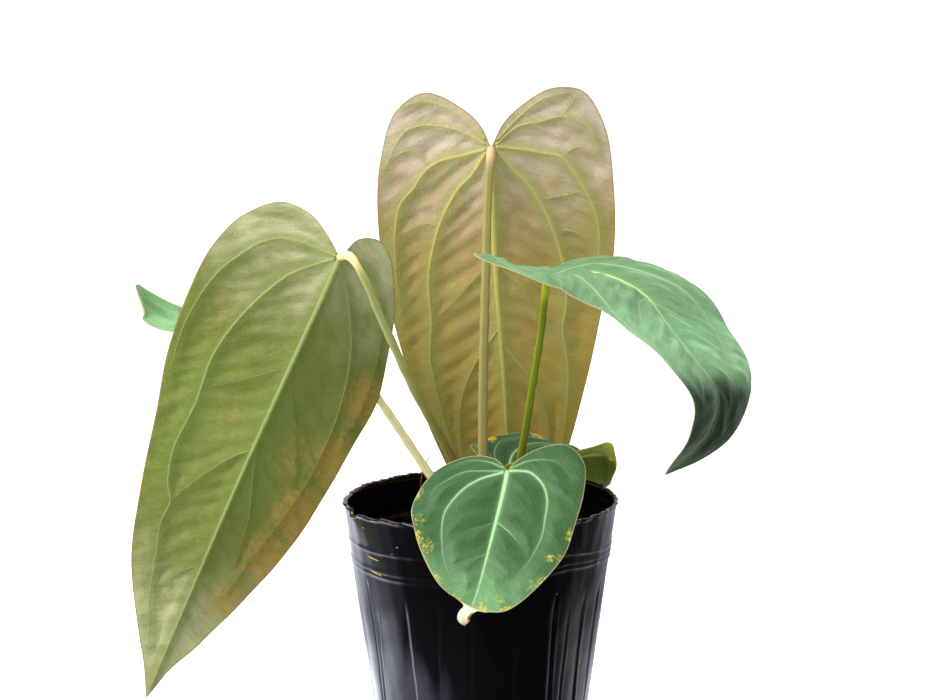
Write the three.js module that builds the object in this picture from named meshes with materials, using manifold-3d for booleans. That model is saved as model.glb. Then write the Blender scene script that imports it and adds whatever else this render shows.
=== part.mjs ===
// Potted anthurium hybrid: six heart-shaped leaves on long petioles, in a black nursery pot.
// Millimetres, +Z up. The origin is the middle of the pot's underside, and -Y faces the viewer.
import * as THREE from 'three';
import { mergeVertices } from 'three/addons/utils/BufferGeometryUtils.js';
import Module from 'manifold-3d';

const wasm = await Module();
wasm.setup();

// Driving dimensions of the pot
const POT_HEIGHT = 120;
const POT_RIM_RADIUS = 60;
const POT_BASE_RADIUS = 43.5;
const POT_WALL = 0.9;
const POT_FLOOR = 1.4;
const POT_SEGMENTS = 72;
const FLUTE_COUNT = 24;
const FLUTE_DEPTH = 0.75;
const FLUTE_FOOT = 5;
const FLUTE_HEAD = 88;
const RIDGE_HEIGHTS = [94, 101];
const RIDGE_RISE = 0.5;
const RIDGE_HALF_WIDTH = 1.3;
const RIM_DROP = 0.6;
const RIM_SAG = 1.4;
const RIM_SAG_BEARING = 190;
const RIM_WAVES = [[5, 0.35, 1], [13, 0.3, 0], [29, 0.25, 2]];
const DRAIN_COUNT = 8;
const DRAIN_RADIUS = 3.2;
const DRAIN_RING = 31;

// Driving dimensions of the potting mix, the crown and the fibre
const CLEARANCE = 0.3;
const MIX_TOP = 88;
const MIX_SEGMENTS = 48;
const MIX_FOLDS = 0.9;
const MIX_RIPPLES = 0.5;
const MIX_DOME = 0.0006;
const CHIP_COUNT = 16;
const CHIP_SPIRAL = 2.4;
const CHIP_INNER = 20;
const CHIP_SPREAD = 27;
const CHIP_LENGTH = 5;
const CHIP_WIDTH = 3.2;
const CHIP_HEIGHT = 2.6;
const CHIP_LIFT = 0.5;
const CROWN_X = 5;
const CROWN_Y = 1;
const CROWN_FOOT = 62;
const CROWN_TOP = 100;
const CROWN_RADIUS = 9;
const CROWN_PROFILE = [[0, CROWN_FOOT], [5, CROWN_FOOT], [8, 66], [CROWN_RADIUS, 74], [8.4, 76],
  [CROWN_RADIUS + 0.3, 84], [8.6, 86], [CROWN_RADIUS + 0.4, 93], [7.6, 97.5], [0, CROWN_TOP]];
const ROOT_RADIUS = 1.8;
const ROOT_TAPER = 0.5;
const ROOT_REACH = 17;
const ROOT_BEARINGS = [20, 88, 165, 232, 300];
const FIBRE_RADIUS = 0.35;
const FIBRE_ROUTE = [[-27, 27, 85.5], [-27.5, 28, 98], [-27, 29.5, 112], [-26.2, 30, 122], [-24.6, 30, 127],
  [-21.8, 30, 133]];

// Driving dimensions shared by the leaves
const BLADE_THICKNESS = 0.8;
const MIDRIB_RISE = 0.7;
const LADDER_FOOT = 0.3;
const LADDER_SPREAD = 1.1;
const RUNG_SPREAD = 1.15;
const CURVE_STEPS = 600;
const FACE_ROUNDING = 40;

const degrees = (angle) => (angle * Math.PI) / 180;
const lerp = THREE.MathUtils.lerp;
const clamp = THREE.MathUtils.clamp;

// A leaf's outline points are shares of (half width, length): (0, 0) at the petiole, (0, 1) at the tip.
// The second spine point is where the petiole meets the blade, and face points out of its upper side.
// Fold and curl (degrees, and degrees over 50 mm) are given at the leaf's base and tip.
// Ease is how many curve steps, to both sides, the blade's turning is averaged over.
const LONG_HEART = [[0.2, -0.07], [0.5, -0.12], [0.78, -0.09], [0.96, 0.03], [1, 0.2],
  [0.9, 0.42], [0.72, 0.6], [0.5, 0.76], [0.25, 0.9], [0.07, 0.975]];
const BROAD_HEART = [[0.14, -0.1], [0.38, -0.19], [0.66, -0.2], [0.9, -0.1], [1, 0.1],
  [0.95, 0.33], [0.8, 0.54], [0.55, 0.74], [0.27, 0.89], [0.08, 0.975]];
const SHORT_HEART = [[0.2, -0.09], [0.5, -0.17], [0.8, -0.15], [0.97, 0], [1, 0.2],
  [0.9, 0.45], [0.7, 0.66], [0.4, 0.85], [0.15, 0.96]];

const LEAVES = {
  tall_back: {
    spine: [[4.7, 24, 296], [4.7, 30, 269.6], [7, 42, 215], [11, 54, 165], [14, 66, 115], [17, 74, 62]],
    face: [[0, 1, 0.3], [0, 1, 0.3]],
    ease: 0,
    half: [52, 54],
    left: [[0.08, -0.041], [0.23, -0.075], [0.57, -0.108], [0.81, -0.067], [0.95, 0.028], [1, 0.15],
      [0.93, 0.38], [0.82, 0.523], [0.67, 0.65], [0.42, 0.81], [0.2, 0.92], [0.06, 0.98]],
    right: [[0.1, -0.048], [0.23, -0.08], [0.5, -0.12], [0.76, -0.111], [0.94, -0.034], [1.01, 0.105],
      [0.99, 0.261], [0.85, 0.403], [0.68, 0.564], [0.53, 0.69], [0.34, 0.83], [0.16, 0.935], [0.05, 0.985]],
    fold: { left: [10, 6], right: [10, 6] },
    curl: { left: [-8, -8], right: [-8, -8] },
    lobe: { left: 0, right: 0 },
    stations: 24,
    rungs: 6,
    petiole: [[4.4, 7.5, 94], [1.6, 6, 120], [1.1, 5.5, 137], [1.1, 8, 161], [2, 14.5, 204],
      [3.3, 23.5, 247], [4.6, 28.7, 267.5]],
    shaft: 2.15,
    colour: 0x9a8c4c,
    petioleColour: 0xa39a63,
  },
  left: {
    spine: [[-52, -2, 246], [-59.9, -5, 224], [-81, -10, 178], [-103, -17, 130], [-123, -24, 84],
      [-142.6, -30, 38.3]],
    face: [[-0.35, 1, 0.1], [-0.35, 1, 0.1]],
    ease: 0,
    half: [53, 49],
    left: [[0.11, -0.026], [0.34, -0.067], [0.61, -0.07], [0.83, -0.015], [0.97, 0.086], [0.99, 0.182],
      [0.94, 0.325], [0.83, 0.442], [0.7, 0.595], [0.55, 0.737], [0.27, 0.873], [0.12, 0.937]],
    right: [[0.14, -0.05], [0.4, -0.06], [0.68, 0.009], [0.89, 0.123], [1.01, 0.253], [0.94, 0.4],
      [0.88, 0.513], [0.74, 0.635], [0.54, 0.746], [0.33, 0.843], [0.12, 0.931]],
    fold: { left: [20, 12], right: [20, 12] },
    curl: { left: [-6, -6], right: [-6, -6] },
    lobe: { left: 0, right: 0 },
    stations: 24,
    rungs: 6,
    petiole: [[-1.3, -0.7, 94], [-6, -1.2, 120], [-12.8, -2, 137.7], [-27.8, -6, 166], [-37.8, -9, 188.5],
      [-43.6, -11, 202], [-48.9, -12.8, 215.4], [-55.3, -11, 225.2], [-59.5, -6.6, 224.6]],
    shaft: 1.95,
    colour: 0x7d8a45,
    petioleColour: 0x5e6a2c,
  },
  right: {
    spine: [[6.8, -12.6, 221.2], [27.7, -16.2, 217.2], [45.8, -19.4, 218.7], [66.5, -31.4, 211.1],
      [76, -41.2, 200.8], [91.6, -60, 181.4], [94.1, -62.9, 173.9], [90.6, -62.6, 159.4],
      [73.9, -59.6, 141.4]],
    face: [[0.3, -0.06, 0.83], [0.43, -0.46, 0.81], [0.62, -0.48, 0.59], [0.84, -0.47, 0.15],
      [0.6, -0.46, -0.6]],
    ease: 30,
    half: [47, 41.6],
    left: LONG_HEART,
    right: BROAD_HEART,
    fold: { left: [6, 10], right: [15.6, -0.9] },
    curl: { left: [-40, -1], right: [-22.6, -7.5] },
    lobe: { left: -1.5, right: 2 },
    stations: 24,
    rungs: 6,
    petiole: [[10.3, -2.7, 94], [14, -6, 120], [17, -8, 137.5], [19.1, -9.5, 150], [22.3, -12, 172],
      [25.5, -14.2, 194], [27.6, -16.2, 216.7]],
    shaft: 1.75,
    colour: 0x5f9074,
    petioleColour: 0x7a8a1e,
  },
  front: {
    spine: [[14, -38, 156], [10.6, -52, 141.1], [4.6, -72, 121], [-3.8, -90, 96], [-6.8, -90, 91.5],
      [-6.8, -89.5, 87.5]],
    face: [[0, -0.6, 0.8], [0, -0.8, 0.6]],
    ease: 0,
    half: [33, 34],
    left: [[0.08, -0.069], [0.36, -0.177], [0.68, -0.204], [0.92, -0.107], [0.98, 0.084], [0.95, 0.305],
      [0.9, 0.492], [0.66, 0.706], [0.42, 0.833], [0.2, 0.868], [0.08, 0.885], [0.08, 0.95]],
    right: [[0.19, -0.07], [0.47, -0.066], [0.76, 0.036], [0.95, 0.199], [1, 0.392], [0.92, 0.492],
      [0.78, 0.619], [0.47, 0.808], [0.2, 0.885], [0.08, 0.9], [0.08, 0.96]],
    fold: { left: [6, 6], right: [6, 6] },
    curl: { left: [-10, -10], right: [-10, -10] },
    lobe: { left: 0, right: 0 },
    stations: 22,
    rungs: 5,
    petiole: [[5.6, -5.5, 94], [7.5, -15, 110], [9, -27, 121], [10, -40, 131.5], [10.6, -51.6, 140.5]],
    shaft: 1.6,
    colour: 0x4b7a50,
    petioleColour: 0x8a9650,
  },
  rear_low: {
    spine: [[3.1, 8, 126.8], [13.1, 14, 122.9], [26.5, 23, 123.9], [44, 42.2, 122.6], [50.2, 53.9, 114.6],
      [59.2, 64.5, 108.6]],
    face: [[0.03, -0.14, 0.89], [-0.34, -0.49, 0.42], [0.1, -0.34, 0.49]],
    ease: 25,
    half: [31.4, 26.4],
    left: SHORT_HEART,
    right: SHORT_HEART,
    fold: { left: [23.2, 28.2], right: [37.5, 60.1] },
    curl: { left: [-37.4, -1], right: [-10.2, -0.6] },
    lobe: { left: 3.1, right: 0 },
    stations: 20,
    rungs: 5,
    petiole: [[10.3, 4.7, 94], [12, 9.6, 110], [13, 13.6, 121.6]],
    shaft: 1.6,
    colour: 0x3f6f47,
    petioleColour: 0x7f8c47,
  },
  far_left: {
    spine: [[-77, 40.7, 194.9], [-85.8, 40, 193.4], [-110.2, 38.2, 189.4], [-134.9, 31.2, 190.9],
      [-149.2, 31.6, 199], [-152.3, 24, 209.2]],
    face: [[0, -0.35, 0.9], [0.09, -0.03, 0.87], [0.47, -0.51, 0.61]],
    ease: 0,
    half: [24, 24],
    left: SHORT_HEART,
    right: SHORT_HEART,
    fold: { left: [9.6, 9.6], right: [6, 6] },
    curl: { left: [-9.9, -9.9], right: [-10.7, -10.7] },
    lobe: { left: 0, right: 0 },
    stations: 18,
    rungs: 5,
    petiole: [[-0.3, 4.7, 94], [-9, 6.4, 110], [-17.7, 8, 120.9], [-22.2, 10, 126.7], [-45.3, 20, 159.4],
      [-64.7, 30, 183], [-78, 36.8, 192.3], [-85.6, 39.8, 192.2]],
    shaft: 1.9,
    colour: 0x9fc18a,
    petioleColour: 0xb0aa78,
  },
};

// Closed solids

function solidFrom(geometry) {
  const bare = geometry.clone();
  bare.deleteAttribute('normal');
  bare.deleteAttribute('uv');
  const merged = mergeVertices(bare, 1e-4);
  return new wasm.Manifold(new wasm.Mesh({
    numProp: 3,
    vertProperties: new Float32Array(merged.attributes.position.array),
    triVerts: new Uint32Array(merged.index.array),
  }));
}

function solidFromLists(points, triangles) {
  return new wasm.Manifold(new wasm.Mesh({
    numProp: 3,
    vertProperties: Float32Array.from(points.flatMap((p) => [p.x, p.y, p.z])),
    triVerts: Uint32Array.from(triangles.flat()),
  }));
}

function largestPiece(solid) {
  const pieces = solid.decompose();
  return pieces.reduce((best, piece) => (piece.volume() > best.volume() ? piece : best));
}

function meshFrom(name, solid, colour, roughness) {
  const data = solid.getMesh();
  const geometry = new THREE.BufferGeometry();
  geometry.setAttribute('position', new THREE.BufferAttribute(new Float32Array(data.vertProperties), 3));
  geometry.setIndex(new THREE.BufferAttribute(new Uint32Array(data.triVerts), 1));
  geometry.computeVertexNormals();
  const material = new THREE.MeshStandardMaterial({ color: colour, roughness, metalness: 0 });
  const mesh = new THREE.Mesh(geometry, material);
  mesh.name = name;
  return mesh;
}

// A closed body of revolution-like rings, each a list of points in order, closed at both ends by a fan
function ringBody(rings, foot, head) {
  const points = [foot, ...rings.flat(), head];
  const count = rings[0].length;
  const triangles = [];
  const at = (ring, k) => 1 + ring * count + (k % count);
  for (let k = 0; k < count; k += 1) {
    triangles.push([0, at(0, k + 1), at(0, k)]);
    triangles.push([points.length - 1, at(rings.length - 1, k), at(rings.length - 1, k + 1)]);
    for (let ring = 0; ring + 1 < rings.length; ring += 1) {
      triangles.push([at(ring, k), at(ring, k + 1), at(ring + 1, k + 1)]);
      triangles.push([at(ring, k), at(ring + 1, k + 1), at(ring + 1, k)]);
    }
  }
  return solidFromLists(points, triangles);
}

// A round stalk along a route, whose radius is a function of the share of its length
function stalk(route, radiusAt, sides, steps) {
  const curve = new THREE.CatmullRomCurve3(route.map((p) => new THREE.Vector3(...p)));
  const frames = curve.computeFrenetFrames(steps, false);
  const rings = [];
  for (let step = 0; step <= steps; step += 1) {
    const share = step / steps;
    const middle = curve.getPointAt(share);
    const radius = radiusAt(share);
    const ring = [];
    for (let k = 0; k < sides; k += 1) {
      const angle = (2 * Math.PI * k) / sides;
      ring.push(middle.clone()
        .addScaledVector(frames.normals[step], radius * Math.cos(angle))
        .addScaledVector(frames.binormals[step], radius * Math.sin(angle)));
    }
    rings.push(ring);
  }
  return ringBody(rings, curve.getPointAt(0), curve.getPointAt(1));
}

// The pot: a thin wall with a ragged rim, two ridges, upright flutes and a floor with drain holes

const fade = (z) => clamp((z - FLUTE_FOOT) / 8, 0, 1) * clamp((FLUTE_HEAD - z) / 8, 0, 1);

function potRadius(segment, z) {
  const perFlute = POT_SEGMENTS / FLUTE_COUNT;
  const flute = Math.round(segment / perFlute);
  const crease = segment % perFlute === 0 ? 1 : 0;
  const depth = FLUTE_DEPTH * (0.65 + 0.35 * Math.sin(flute * 2.4));
  const ridge = RIDGE_HEIGHTS.some((height) => Math.abs(z - height) < 0.1) ? RIDGE_RISE : 0;
  return lerp(POT_BASE_RADIUS, POT_RIM_RADIUS, z / POT_HEIGHT) - crease * depth * fade(z) + ridge;
}

function rimHeight(segment) {
  const angle = (2 * Math.PI * segment) / POT_SEGMENTS;
  const sag = RIM_SAG * Math.max(0, Math.cos(angle - degrees(RIM_SAG_BEARING))) ** 2;
  const waves = RIM_WAVES.reduce((sum, [turns, rise, start]) => (
    sum + rise * Math.sin(turns * angle + start)
  ), 0);
  return POT_HEIGHT - RIM_DROP - sag + waves;
}

function makePot() {
  const ridgeLevels = RIDGE_HEIGHTS.flatMap((z) => [z - RIDGE_HALF_WIDTH, z, z + RIDGE_HALF_WIDTH]);
  const outer = [0, 2, FLUTE_FOOT + 8, 45, FLUTE_HEAD - 8, FLUTE_HEAD, ...ridgeLevels, 112];
  const inner = [POT_FLOOR, FLUTE_FOOT + 8, 45, FLUTE_HEAD - 8, FLUTE_HEAD, 112];
  const ringAt = (zOf, inset) => {
    const ring = [];
    for (let segment = 0; segment < POT_SEGMENTS; segment += 1) {
      const angle = (2 * Math.PI * segment) / POT_SEGMENTS;
      const z = zOf(segment);
      const radius = potRadius(segment, z) - inset;
      ring.push(new THREE.Vector3(radius * Math.cos(angle), radius * Math.sin(angle), z));
    }
    return ring;
  };
  const rings = [
    ...outer.map((z) => ringAt(() => z, 0)),
    ringAt(rimHeight, 0),
    ringAt(rimHeight, POT_WALL),
    ...inner.reverse().map((z) => ringAt(() => z, POT_WALL)),
  ];
  let pot = ringBody(rings, new THREE.Vector3(0, 0, 0), new THREE.Vector3(0, 0, POT_FLOOR));
  for (let k = 0; k < DRAIN_COUNT; k += 1) {
    const angle = (2 * Math.PI * (k + 0.5)) / DRAIN_COUNT;
    const drain = new THREE.CylinderGeometry(DRAIN_RADIUS, DRAIN_RADIUS, 3 * POT_FLOOR, 12);
    drain.rotateX(Math.PI / 2);
    drain.translate(DRAIN_RING * Math.cos(angle), DRAIN_RING * Math.sin(angle), POT_FLOOR / 2);
    pot = pot.subtract(solidFrom(drain));
  }
  return pot;
}

// The crown: a short ringed stem with thick roots that arch out of it into the mix

function makeCrown(grow) {
  const points = CROWN_PROFILE.map(([radius, z], k) => {
    const end = k === 0 ? -grow : 0;
    const rise = k === CROWN_PROFILE.length - 1 ? grow : end;
    return new THREE.Vector2(radius === 0 ? 0 : radius + grow, z + rise);
  });
  const stem = new THREE.LatheGeometry(points, 16);
  stem.rotateX(Math.PI / 2);
  stem.translate(CROWN_X, CROWN_Y, 0);
  let crown = solidFrom(stem);
  ROOT_BEARINGS.forEach((bearing, k) => {
    const reach = ROOT_REACH + 2.5 * Math.sin(3 * k);
    const place = (distance, turn, z) => {
      const angle = degrees(bearing + turn);
      return [CROWN_X + distance * Math.cos(angle), CROWN_Y + distance * Math.sin(angle), z];
    };
    const route = [place(5, 0, 88), place(11, 4, 91.5), place(reach - 2, 12, 89), place(reach + 2, 16, 82)];
    crown = crown.add(stalk(route, (share) => ROOT_RADIUS + grow - ROOT_TAPER * share, 8, 7));
  });
  return crown;
}

// The potting mix: a plug of soil with a rough top and a few chips, with plain holes for what it holds

function mixTop(x, y) {
  const folds = MIX_FOLDS * Math.sin(x / 6.5 + 0.7) * Math.cos(y / 7.5);
  const ripples = MIX_RIPPLES * Math.sin((x + 2 * y) / 3.7);
  return MIX_TOP + folds + ripples - MIX_DOME * (x * x + y * y);
}

function makeMix(holes) {
  const side = [POT_FLOOR + CLEARANCE, 12, 84];
  const wallGap = POT_WALL + CLEARANCE + FLUTE_DEPTH;
  const radiusAt = (z) => lerp(POT_BASE_RADIUS, POT_RIM_RADIUS, z / POT_HEIGHT) - wallGap;
  const shares = [1, 0.9, 0.76, 0.6, 0.42, 0.22];
  const circle = (radius, zOf) => {
    const ring = [];
    for (let k = 0; k < MIX_SEGMENTS; k += 1) {
      const angle = (2 * Math.PI * k) / MIX_SEGMENTS;
      const x = radius * Math.cos(angle);
      const y = radius * Math.sin(angle);
      ring.push(new THREE.Vector3(x, y, zOf(x, y)));
    }
    return ring;
  };
  const rings = [
    ...side.map((z) => circle(radiusAt(z), () => z)),
    ...shares.map((share) => circle(share * radiusAt(MIX_TOP - 3), mixTop)),
  ];
  const foot = new THREE.Vector3(0, 0, side[0]);
  let mix = ringBody(rings, foot, new THREE.Vector3(0, 0, mixTop(0, 0)));
  for (let k = 0; k < CHIP_COUNT; k += 1) {
    const angle = k * CHIP_SPIRAL;
    const radius = CHIP_INNER + CHIP_SPREAD * ((k * 0.618) % 1);
    const x = radius * Math.cos(angle);
    const y = radius * Math.sin(angle);
    const length = CHIP_LENGTH + 3 * Math.sin(k);
    const chip = new THREE.BoxGeometry(length, CHIP_WIDTH + Math.cos(2 * k), CHIP_HEIGHT);
    chip.rotateX(0.3 * Math.sin(5 * k));
    chip.rotateZ(1.7 * k);
    chip.translate(x, y, mixTop(x, y) + CHIP_LIFT);
    mix = mix.add(solidFrom(chip));
  }
  return holes.reduce((body, hole) => body.subtract(hole), mix);
}

// Vectors along a curve, each averaged three times with those up to reach steps away
function eased(vectors, reach) {
  let result = vectors;
  for (let turn = 0; turn < 3; turn += 1) {
    const source = result;
    result = source.map((_, k) => {
      const sum = new THREE.Vector3();
      for (let step = -reach; step <= reach; step += 1) {
        sum.add(source[clamp(k + step, 0, source.length - 1)]);
      }
      return sum.divideScalar(2 * reach + 1);
    });
  }
  return result;
}

// A blade's middle surface, as places for flat coordinates: x across (right is positive), y to the tip

function makeBladeSurface(leaf) {
  const spine = leaf.spine.map((p) => new THREE.Vector3(...p));
  const curve = new THREE.CatmullRomCurve3(spine, false, 'centripetal');
  const line = curve.getPoints(CURVE_STEPS);
  const along = [0];
  for (let k = 1; k < line.length; k += 1) {
    along.push(along[k - 1] + line[k].distanceTo(line[k - 1]));
  }
  const attach = along[Math.round(CURVE_STEPS / (leaf.spine.length - 1))];
  const ys = along.map((value) => value - attach);
  const length = ys[ys.length - 1];
  const tangents = line.map((p, k) => {
    const next = line[Math.min(k + 1, CURVE_STEPS)];
    const previous = line[Math.max(k - 1, 0)];
    return next.clone().sub(previous).normalize();
  });
  let faces = ys.map((y) => {
    const share = clamp(y / length, 0, 1) * (leaf.face.length - 1);
    const k = Math.min(Math.floor(share), leaf.face.length - 2);
    return new THREE.Vector3(...leaf.face[k]).lerp(new THREE.Vector3(...leaf.face[k + 1]), share - k);
  });
  for (let turn = 0; turn < FACE_ROUNDING; turn += 1) {
    faces = faces.map((face, k) => {
      if (k === 0 || k === CURVE_STEPS) return face;
      return faces[k - 1].clone().add(faces[k + 1]).addScaledVector(face, 2).multiplyScalar(0.25);
    });
  }
  const headings = eased(tangents, leaf.ease).map((heading) => heading.normalize());
  const uppers = eased(faces, leaf.ease).map((face, k) => (
    face.addScaledVector(headings[k], -face.dot(headings[k])).normalize()
  ));

  const frameAt = (y) => {
    const inside = clamp(y, ys[0], length);
    let k = ys.findIndex((value) => value >= inside);
    k = clamp(k, 1, CURVE_STEPS);
    const share = (inside - ys[k - 1]) / (ys[k] - ys[k - 1]);
    const tangent = tangents[k - 1].clone().lerp(tangents[k], share).normalize();
    const upper = uppers[k - 1].clone().lerp(uppers[k], share).normalize();
    const heading = headings[k - 1].clone().lerp(headings[k], share).normalize();
    const middle = line[k - 1].clone().lerp(line[k], share).addScaledVector(tangent, y - inside);
    return { middle, upper, side: heading.cross(upper).normalize() };
  };

  const placeAt = (x, y) => {
    const { middle, upper, side } = frameAt(y);
    const half = x > 0 ? 'right' : 'left';
    const share = clamp(y / length, 0, 1);
    const fold = degrees(lerp(...leaf.fold[half], share));
    const bend = degrees(lerp(...leaf.curl[half], share)) / 50;
    const reach = Math.abs(x);
    const across = (Math.sin(fold + bend * reach) - Math.sin(fold)) / bend;
    const behind = Math.min(y, 0) / 30;
    const rise = (Math.cos(fold) - Math.cos(fold + bend * reach)) / bend + leaf.lobe[half] * behind * behind;
    return middle.addScaledVector(side, Math.sign(x) * across).addScaledVector(upper, rise);
  };

  const upperAt = (x, y) => {
    if (x === 0) return frameAt(y).upper;
    const step = 0.2;
    const outward = Math.sign(x) * step;
    const across = placeAt(x + outward, y).sub(placeAt(x, y)).multiplyScalar(Math.sign(x));
    const onward = placeAt(x, y + step).sub(placeAt(x, y - step));
    return across.cross(onward).normalize();
  };
  return { length, placeAt, upperAt };
}

// One half of the outline, as evenly spaced flat points from the petiole round the lobe to the tip
function outlineHalf(leaf, half, length) {
  const width = leaf.half[half === 'left' ? 0 : 1] * (half === 'left' ? -1 : 1);
  const shares = [[0, 0], ...leaf[half], [0, 1]];
  const points = shares.map(([x, y]) => new THREE.Vector3(x * width, y * length, 0));
  const curve = new THREE.CatmullRomCurve3(points, false, 'centripetal');
  curve.arcLengthDivisions = 2000;
  return curve.getSpacedPoints(leaf.stations);
}

function makeBlade(leaf, grow) {
  const { length, placeAt, upperAt } = makeBladeSurface(leaf);
  const flat = [];
  const known = new Map();
  const vertexAt = (x, y) => {
    const key = `${Math.round(x * 1000)},${Math.round(y * 1000)}`;
    if (!known.has(key)) {
      known.set(key, flat.length);
      flat.push([x, y]);
    }
    return known.get(key);
  };
  const faces = [];
  const addFace = (a, b, c) => {
    if (a !== b && b !== c && c !== a) faces.push([a, b, c]);
  };
  const shareOf = (rung) => (rung / leaf.rungs) ** RUNG_SPREAD;
  ['left', 'right'].forEach((half) => {
    const edge = outlineHalf(leaf, half, length);
    const grid = edge.map((point, station) => {
      const share = Math.max(0, station / leaf.stations - LADDER_FOOT) / (1 - LADDER_FOOT);
      const foot = length * share ** LADDER_SPREAD;
      const row = [];
      for (let rung = 0; rung <= leaf.rungs; rung += 1) {
        const t = shareOf(rung);
        row.push(vertexAt(point.x * t, lerp(foot, point.y, t)));
      }
      return row;
    });
    for (let station = 0; station < leaf.stations; station += 1) {
      for (let rung = 0; rung < leaf.rungs; rung += 1) {
        const [a, b] = [grid[station][rung], grid[station][rung + 1]];
        const [d, c] = [grid[station + 1][rung], grid[station + 1][rung + 1]];
        if (half === 'right') {
          addFace(a, b, c);
          addFace(a, c, d);
        } else {
          addFace(a, c, b);
          addFace(a, d, c);
        }
      }
    }
  });
  const upperGap = BLADE_THICKNESS / 2 + grow;
  const tops = flat.map(([x, y]) => placeAt(x, y).addScaledVector(upperAt(x, y), upperGap));
  const bottoms = flat.map(([x, y]) => {
    const rib = x === 0 && y > 0 && y < 0.97 * length ? MIDRIB_RISE * (1 - y / length) : 0;
    return placeAt(x, y).addScaledVector(upperAt(x, y), -upperGap - rib);
  });
  const uses = new Map();
  faces.forEach(([a, b, c]) => {
    [[a, b], [b, c], [c, a]].forEach(([from, to]) => uses.set(`${from},${to}`, [from, to]));
  });
  const triangles = [];
  const below = flat.length;
  faces.forEach(([a, b, c]) => {
    triangles.push([a, b, c]);
    triangles.push([a + below, c + below, b + below]);
  });
  uses.forEach(([from, to]) => {
    if (uses.has(`${to},${from}`)) return;
    triangles.push([from, from + below, to + below]);
    triangles.push([from, to + below, to]);
  });
  return solidFromLists([...tops, ...bottoms], triangles);
}

// A petiole: a sheathing foot, a slim shaft and a swollen joint under the blade
function makePetiole(leaf) {
  const radiusAt = (share) => {
    const foot = 0.5 * Math.max(0, 1 - share * 8);
    const joint = 0.45 * clamp((share - 0.9) / 0.05, 0, 1);
    return leaf.shaft + foot + joint;
  };
  const route = new THREE.CatmullRomCurve3(leaf.petiole.map((p) => new THREE.Vector3(...p)));
  const steps = Math.max(6, Math.round(route.getLength() / 11));
  return stalk(leaf.petiole, radiusAt, 8, steps);
}

const plant = new THREE.Group();
const crown = makeCrown(0);
const grownCrown = makeCrown(CLEARANCE);
const grownBlades = Object.values(LEAVES).map((leaf) => makeBlade(leaf, CLEARANCE));
const fibre = stalk(FIBRE_ROUTE, () => FIBRE_RADIUS, 6, 9);
const fibreHole = stalk([[-27, 27, 85], [-27.3, 27.6, 92]], () => FIBRE_RADIUS + CLEARANCE, 8, 2);

plant.add(meshFrom('pot', makePot(), 0x0f0f12, 0.25));
plant.add(meshFrom('potting_mix', makeMix([grownCrown, fibreHole]), 0x3a2a1e, 0.95));
plant.add(meshFrom('crown_and_roots', crown, 0x6f7040, 0.7));
Object.entries(LEAVES).forEach(([name, leaf]) => {
  const whole = makePetiole(leaf).subtract(grownCrown);
  const trimmed = grownBlades.reduce((body, blade) => body.subtract(blade), whole);
  plant.add(meshFrom(`petiole_${name}`, largestPiece(trimmed), leaf.petioleColour, 0.5));
  plant.add(meshFrom(`blade_${name}`, makeBlade(leaf, 0), leaf.colour, 0.55));
});
plant.add(meshFrom('dry_fibre', fibre, 0x7a4034, 0.8));

export default plant;
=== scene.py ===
"""Looks of the potted anthurium hybrid: veined leaves, petioles, pot, potting mix and a plain stage."""

import math

import bpy
import numpy as np
from bpy.props import FloatProperty, FloatVectorProperty, IntProperty, PointerProperty
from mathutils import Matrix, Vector
from mathutils.geometry import delaunay_2d_cdt


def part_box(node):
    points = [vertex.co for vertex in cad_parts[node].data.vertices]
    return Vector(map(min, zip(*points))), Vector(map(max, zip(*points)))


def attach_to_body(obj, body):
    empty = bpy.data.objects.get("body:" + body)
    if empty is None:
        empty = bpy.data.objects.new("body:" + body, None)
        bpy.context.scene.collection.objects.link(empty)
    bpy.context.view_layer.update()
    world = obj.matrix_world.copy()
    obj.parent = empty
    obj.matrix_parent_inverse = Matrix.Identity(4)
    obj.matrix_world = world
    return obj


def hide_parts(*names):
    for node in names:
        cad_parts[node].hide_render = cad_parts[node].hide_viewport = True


bl_info = {
    "name": "Potted anthurium hybrid",
    "version": (1, 0, 0),
    "blender": (4, 5, 0),
    "location": "3D View > Sidebar > Anthurium",
    "description": "Builds a young anthurium hybrid in a black nursery pot around its packed frame",
    "category": "Add Mesh",
}

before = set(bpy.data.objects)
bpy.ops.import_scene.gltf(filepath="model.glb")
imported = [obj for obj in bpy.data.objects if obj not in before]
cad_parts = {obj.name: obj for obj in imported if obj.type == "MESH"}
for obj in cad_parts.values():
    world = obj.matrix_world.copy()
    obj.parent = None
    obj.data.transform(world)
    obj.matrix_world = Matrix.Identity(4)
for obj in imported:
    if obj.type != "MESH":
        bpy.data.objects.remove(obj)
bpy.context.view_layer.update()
MM = 0.001

# Sizes of the pot and places in it, in millimetres; bearings in degrees
POT_LOW, POT_HIGH = (np.array(corner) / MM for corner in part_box("pot"))
MIX_LOW, MIX_HIGH = (np.array(corner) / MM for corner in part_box("potting_mix"))
POT_HEIGHT = 120.0
POT_RIM_RADIUS = (POT_HIGH[0] - POT_LOW[0]) / 2
POT_BASE_RADIUS = POT_RIM_RADIUS * 0.725
MIX_LEVEL = 88
CROWN_PLACE = (5.0, 1.0)
ROOT_BEARINGS = (20, 88, 165, 232, 300)

# Steps along a spine, an outline, a vein, a petiole, a root and the fibre when their curves are drawn
SPINE_STEPS, OUTLINE_STEPS, VEIN_STEPS = 600, 900, 240
STALK_STEPS, ROOT_STEPS, FIBRE_STEPS = 500, 120, 200
# Steps along half a rim when distances to it are measured
RIM_STEPS = 160
# Faces round the pot, the mix and the crown
POT_SIDES, MIX_SIDES, CROWN_SIDES = 640, 150, 48
# How often the upper side's headings are evened out
FACE_ROUNDING = 40
# Share of the outline whose rungs all start at the petiole
LADDER_FOOT = 0.3

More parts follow.
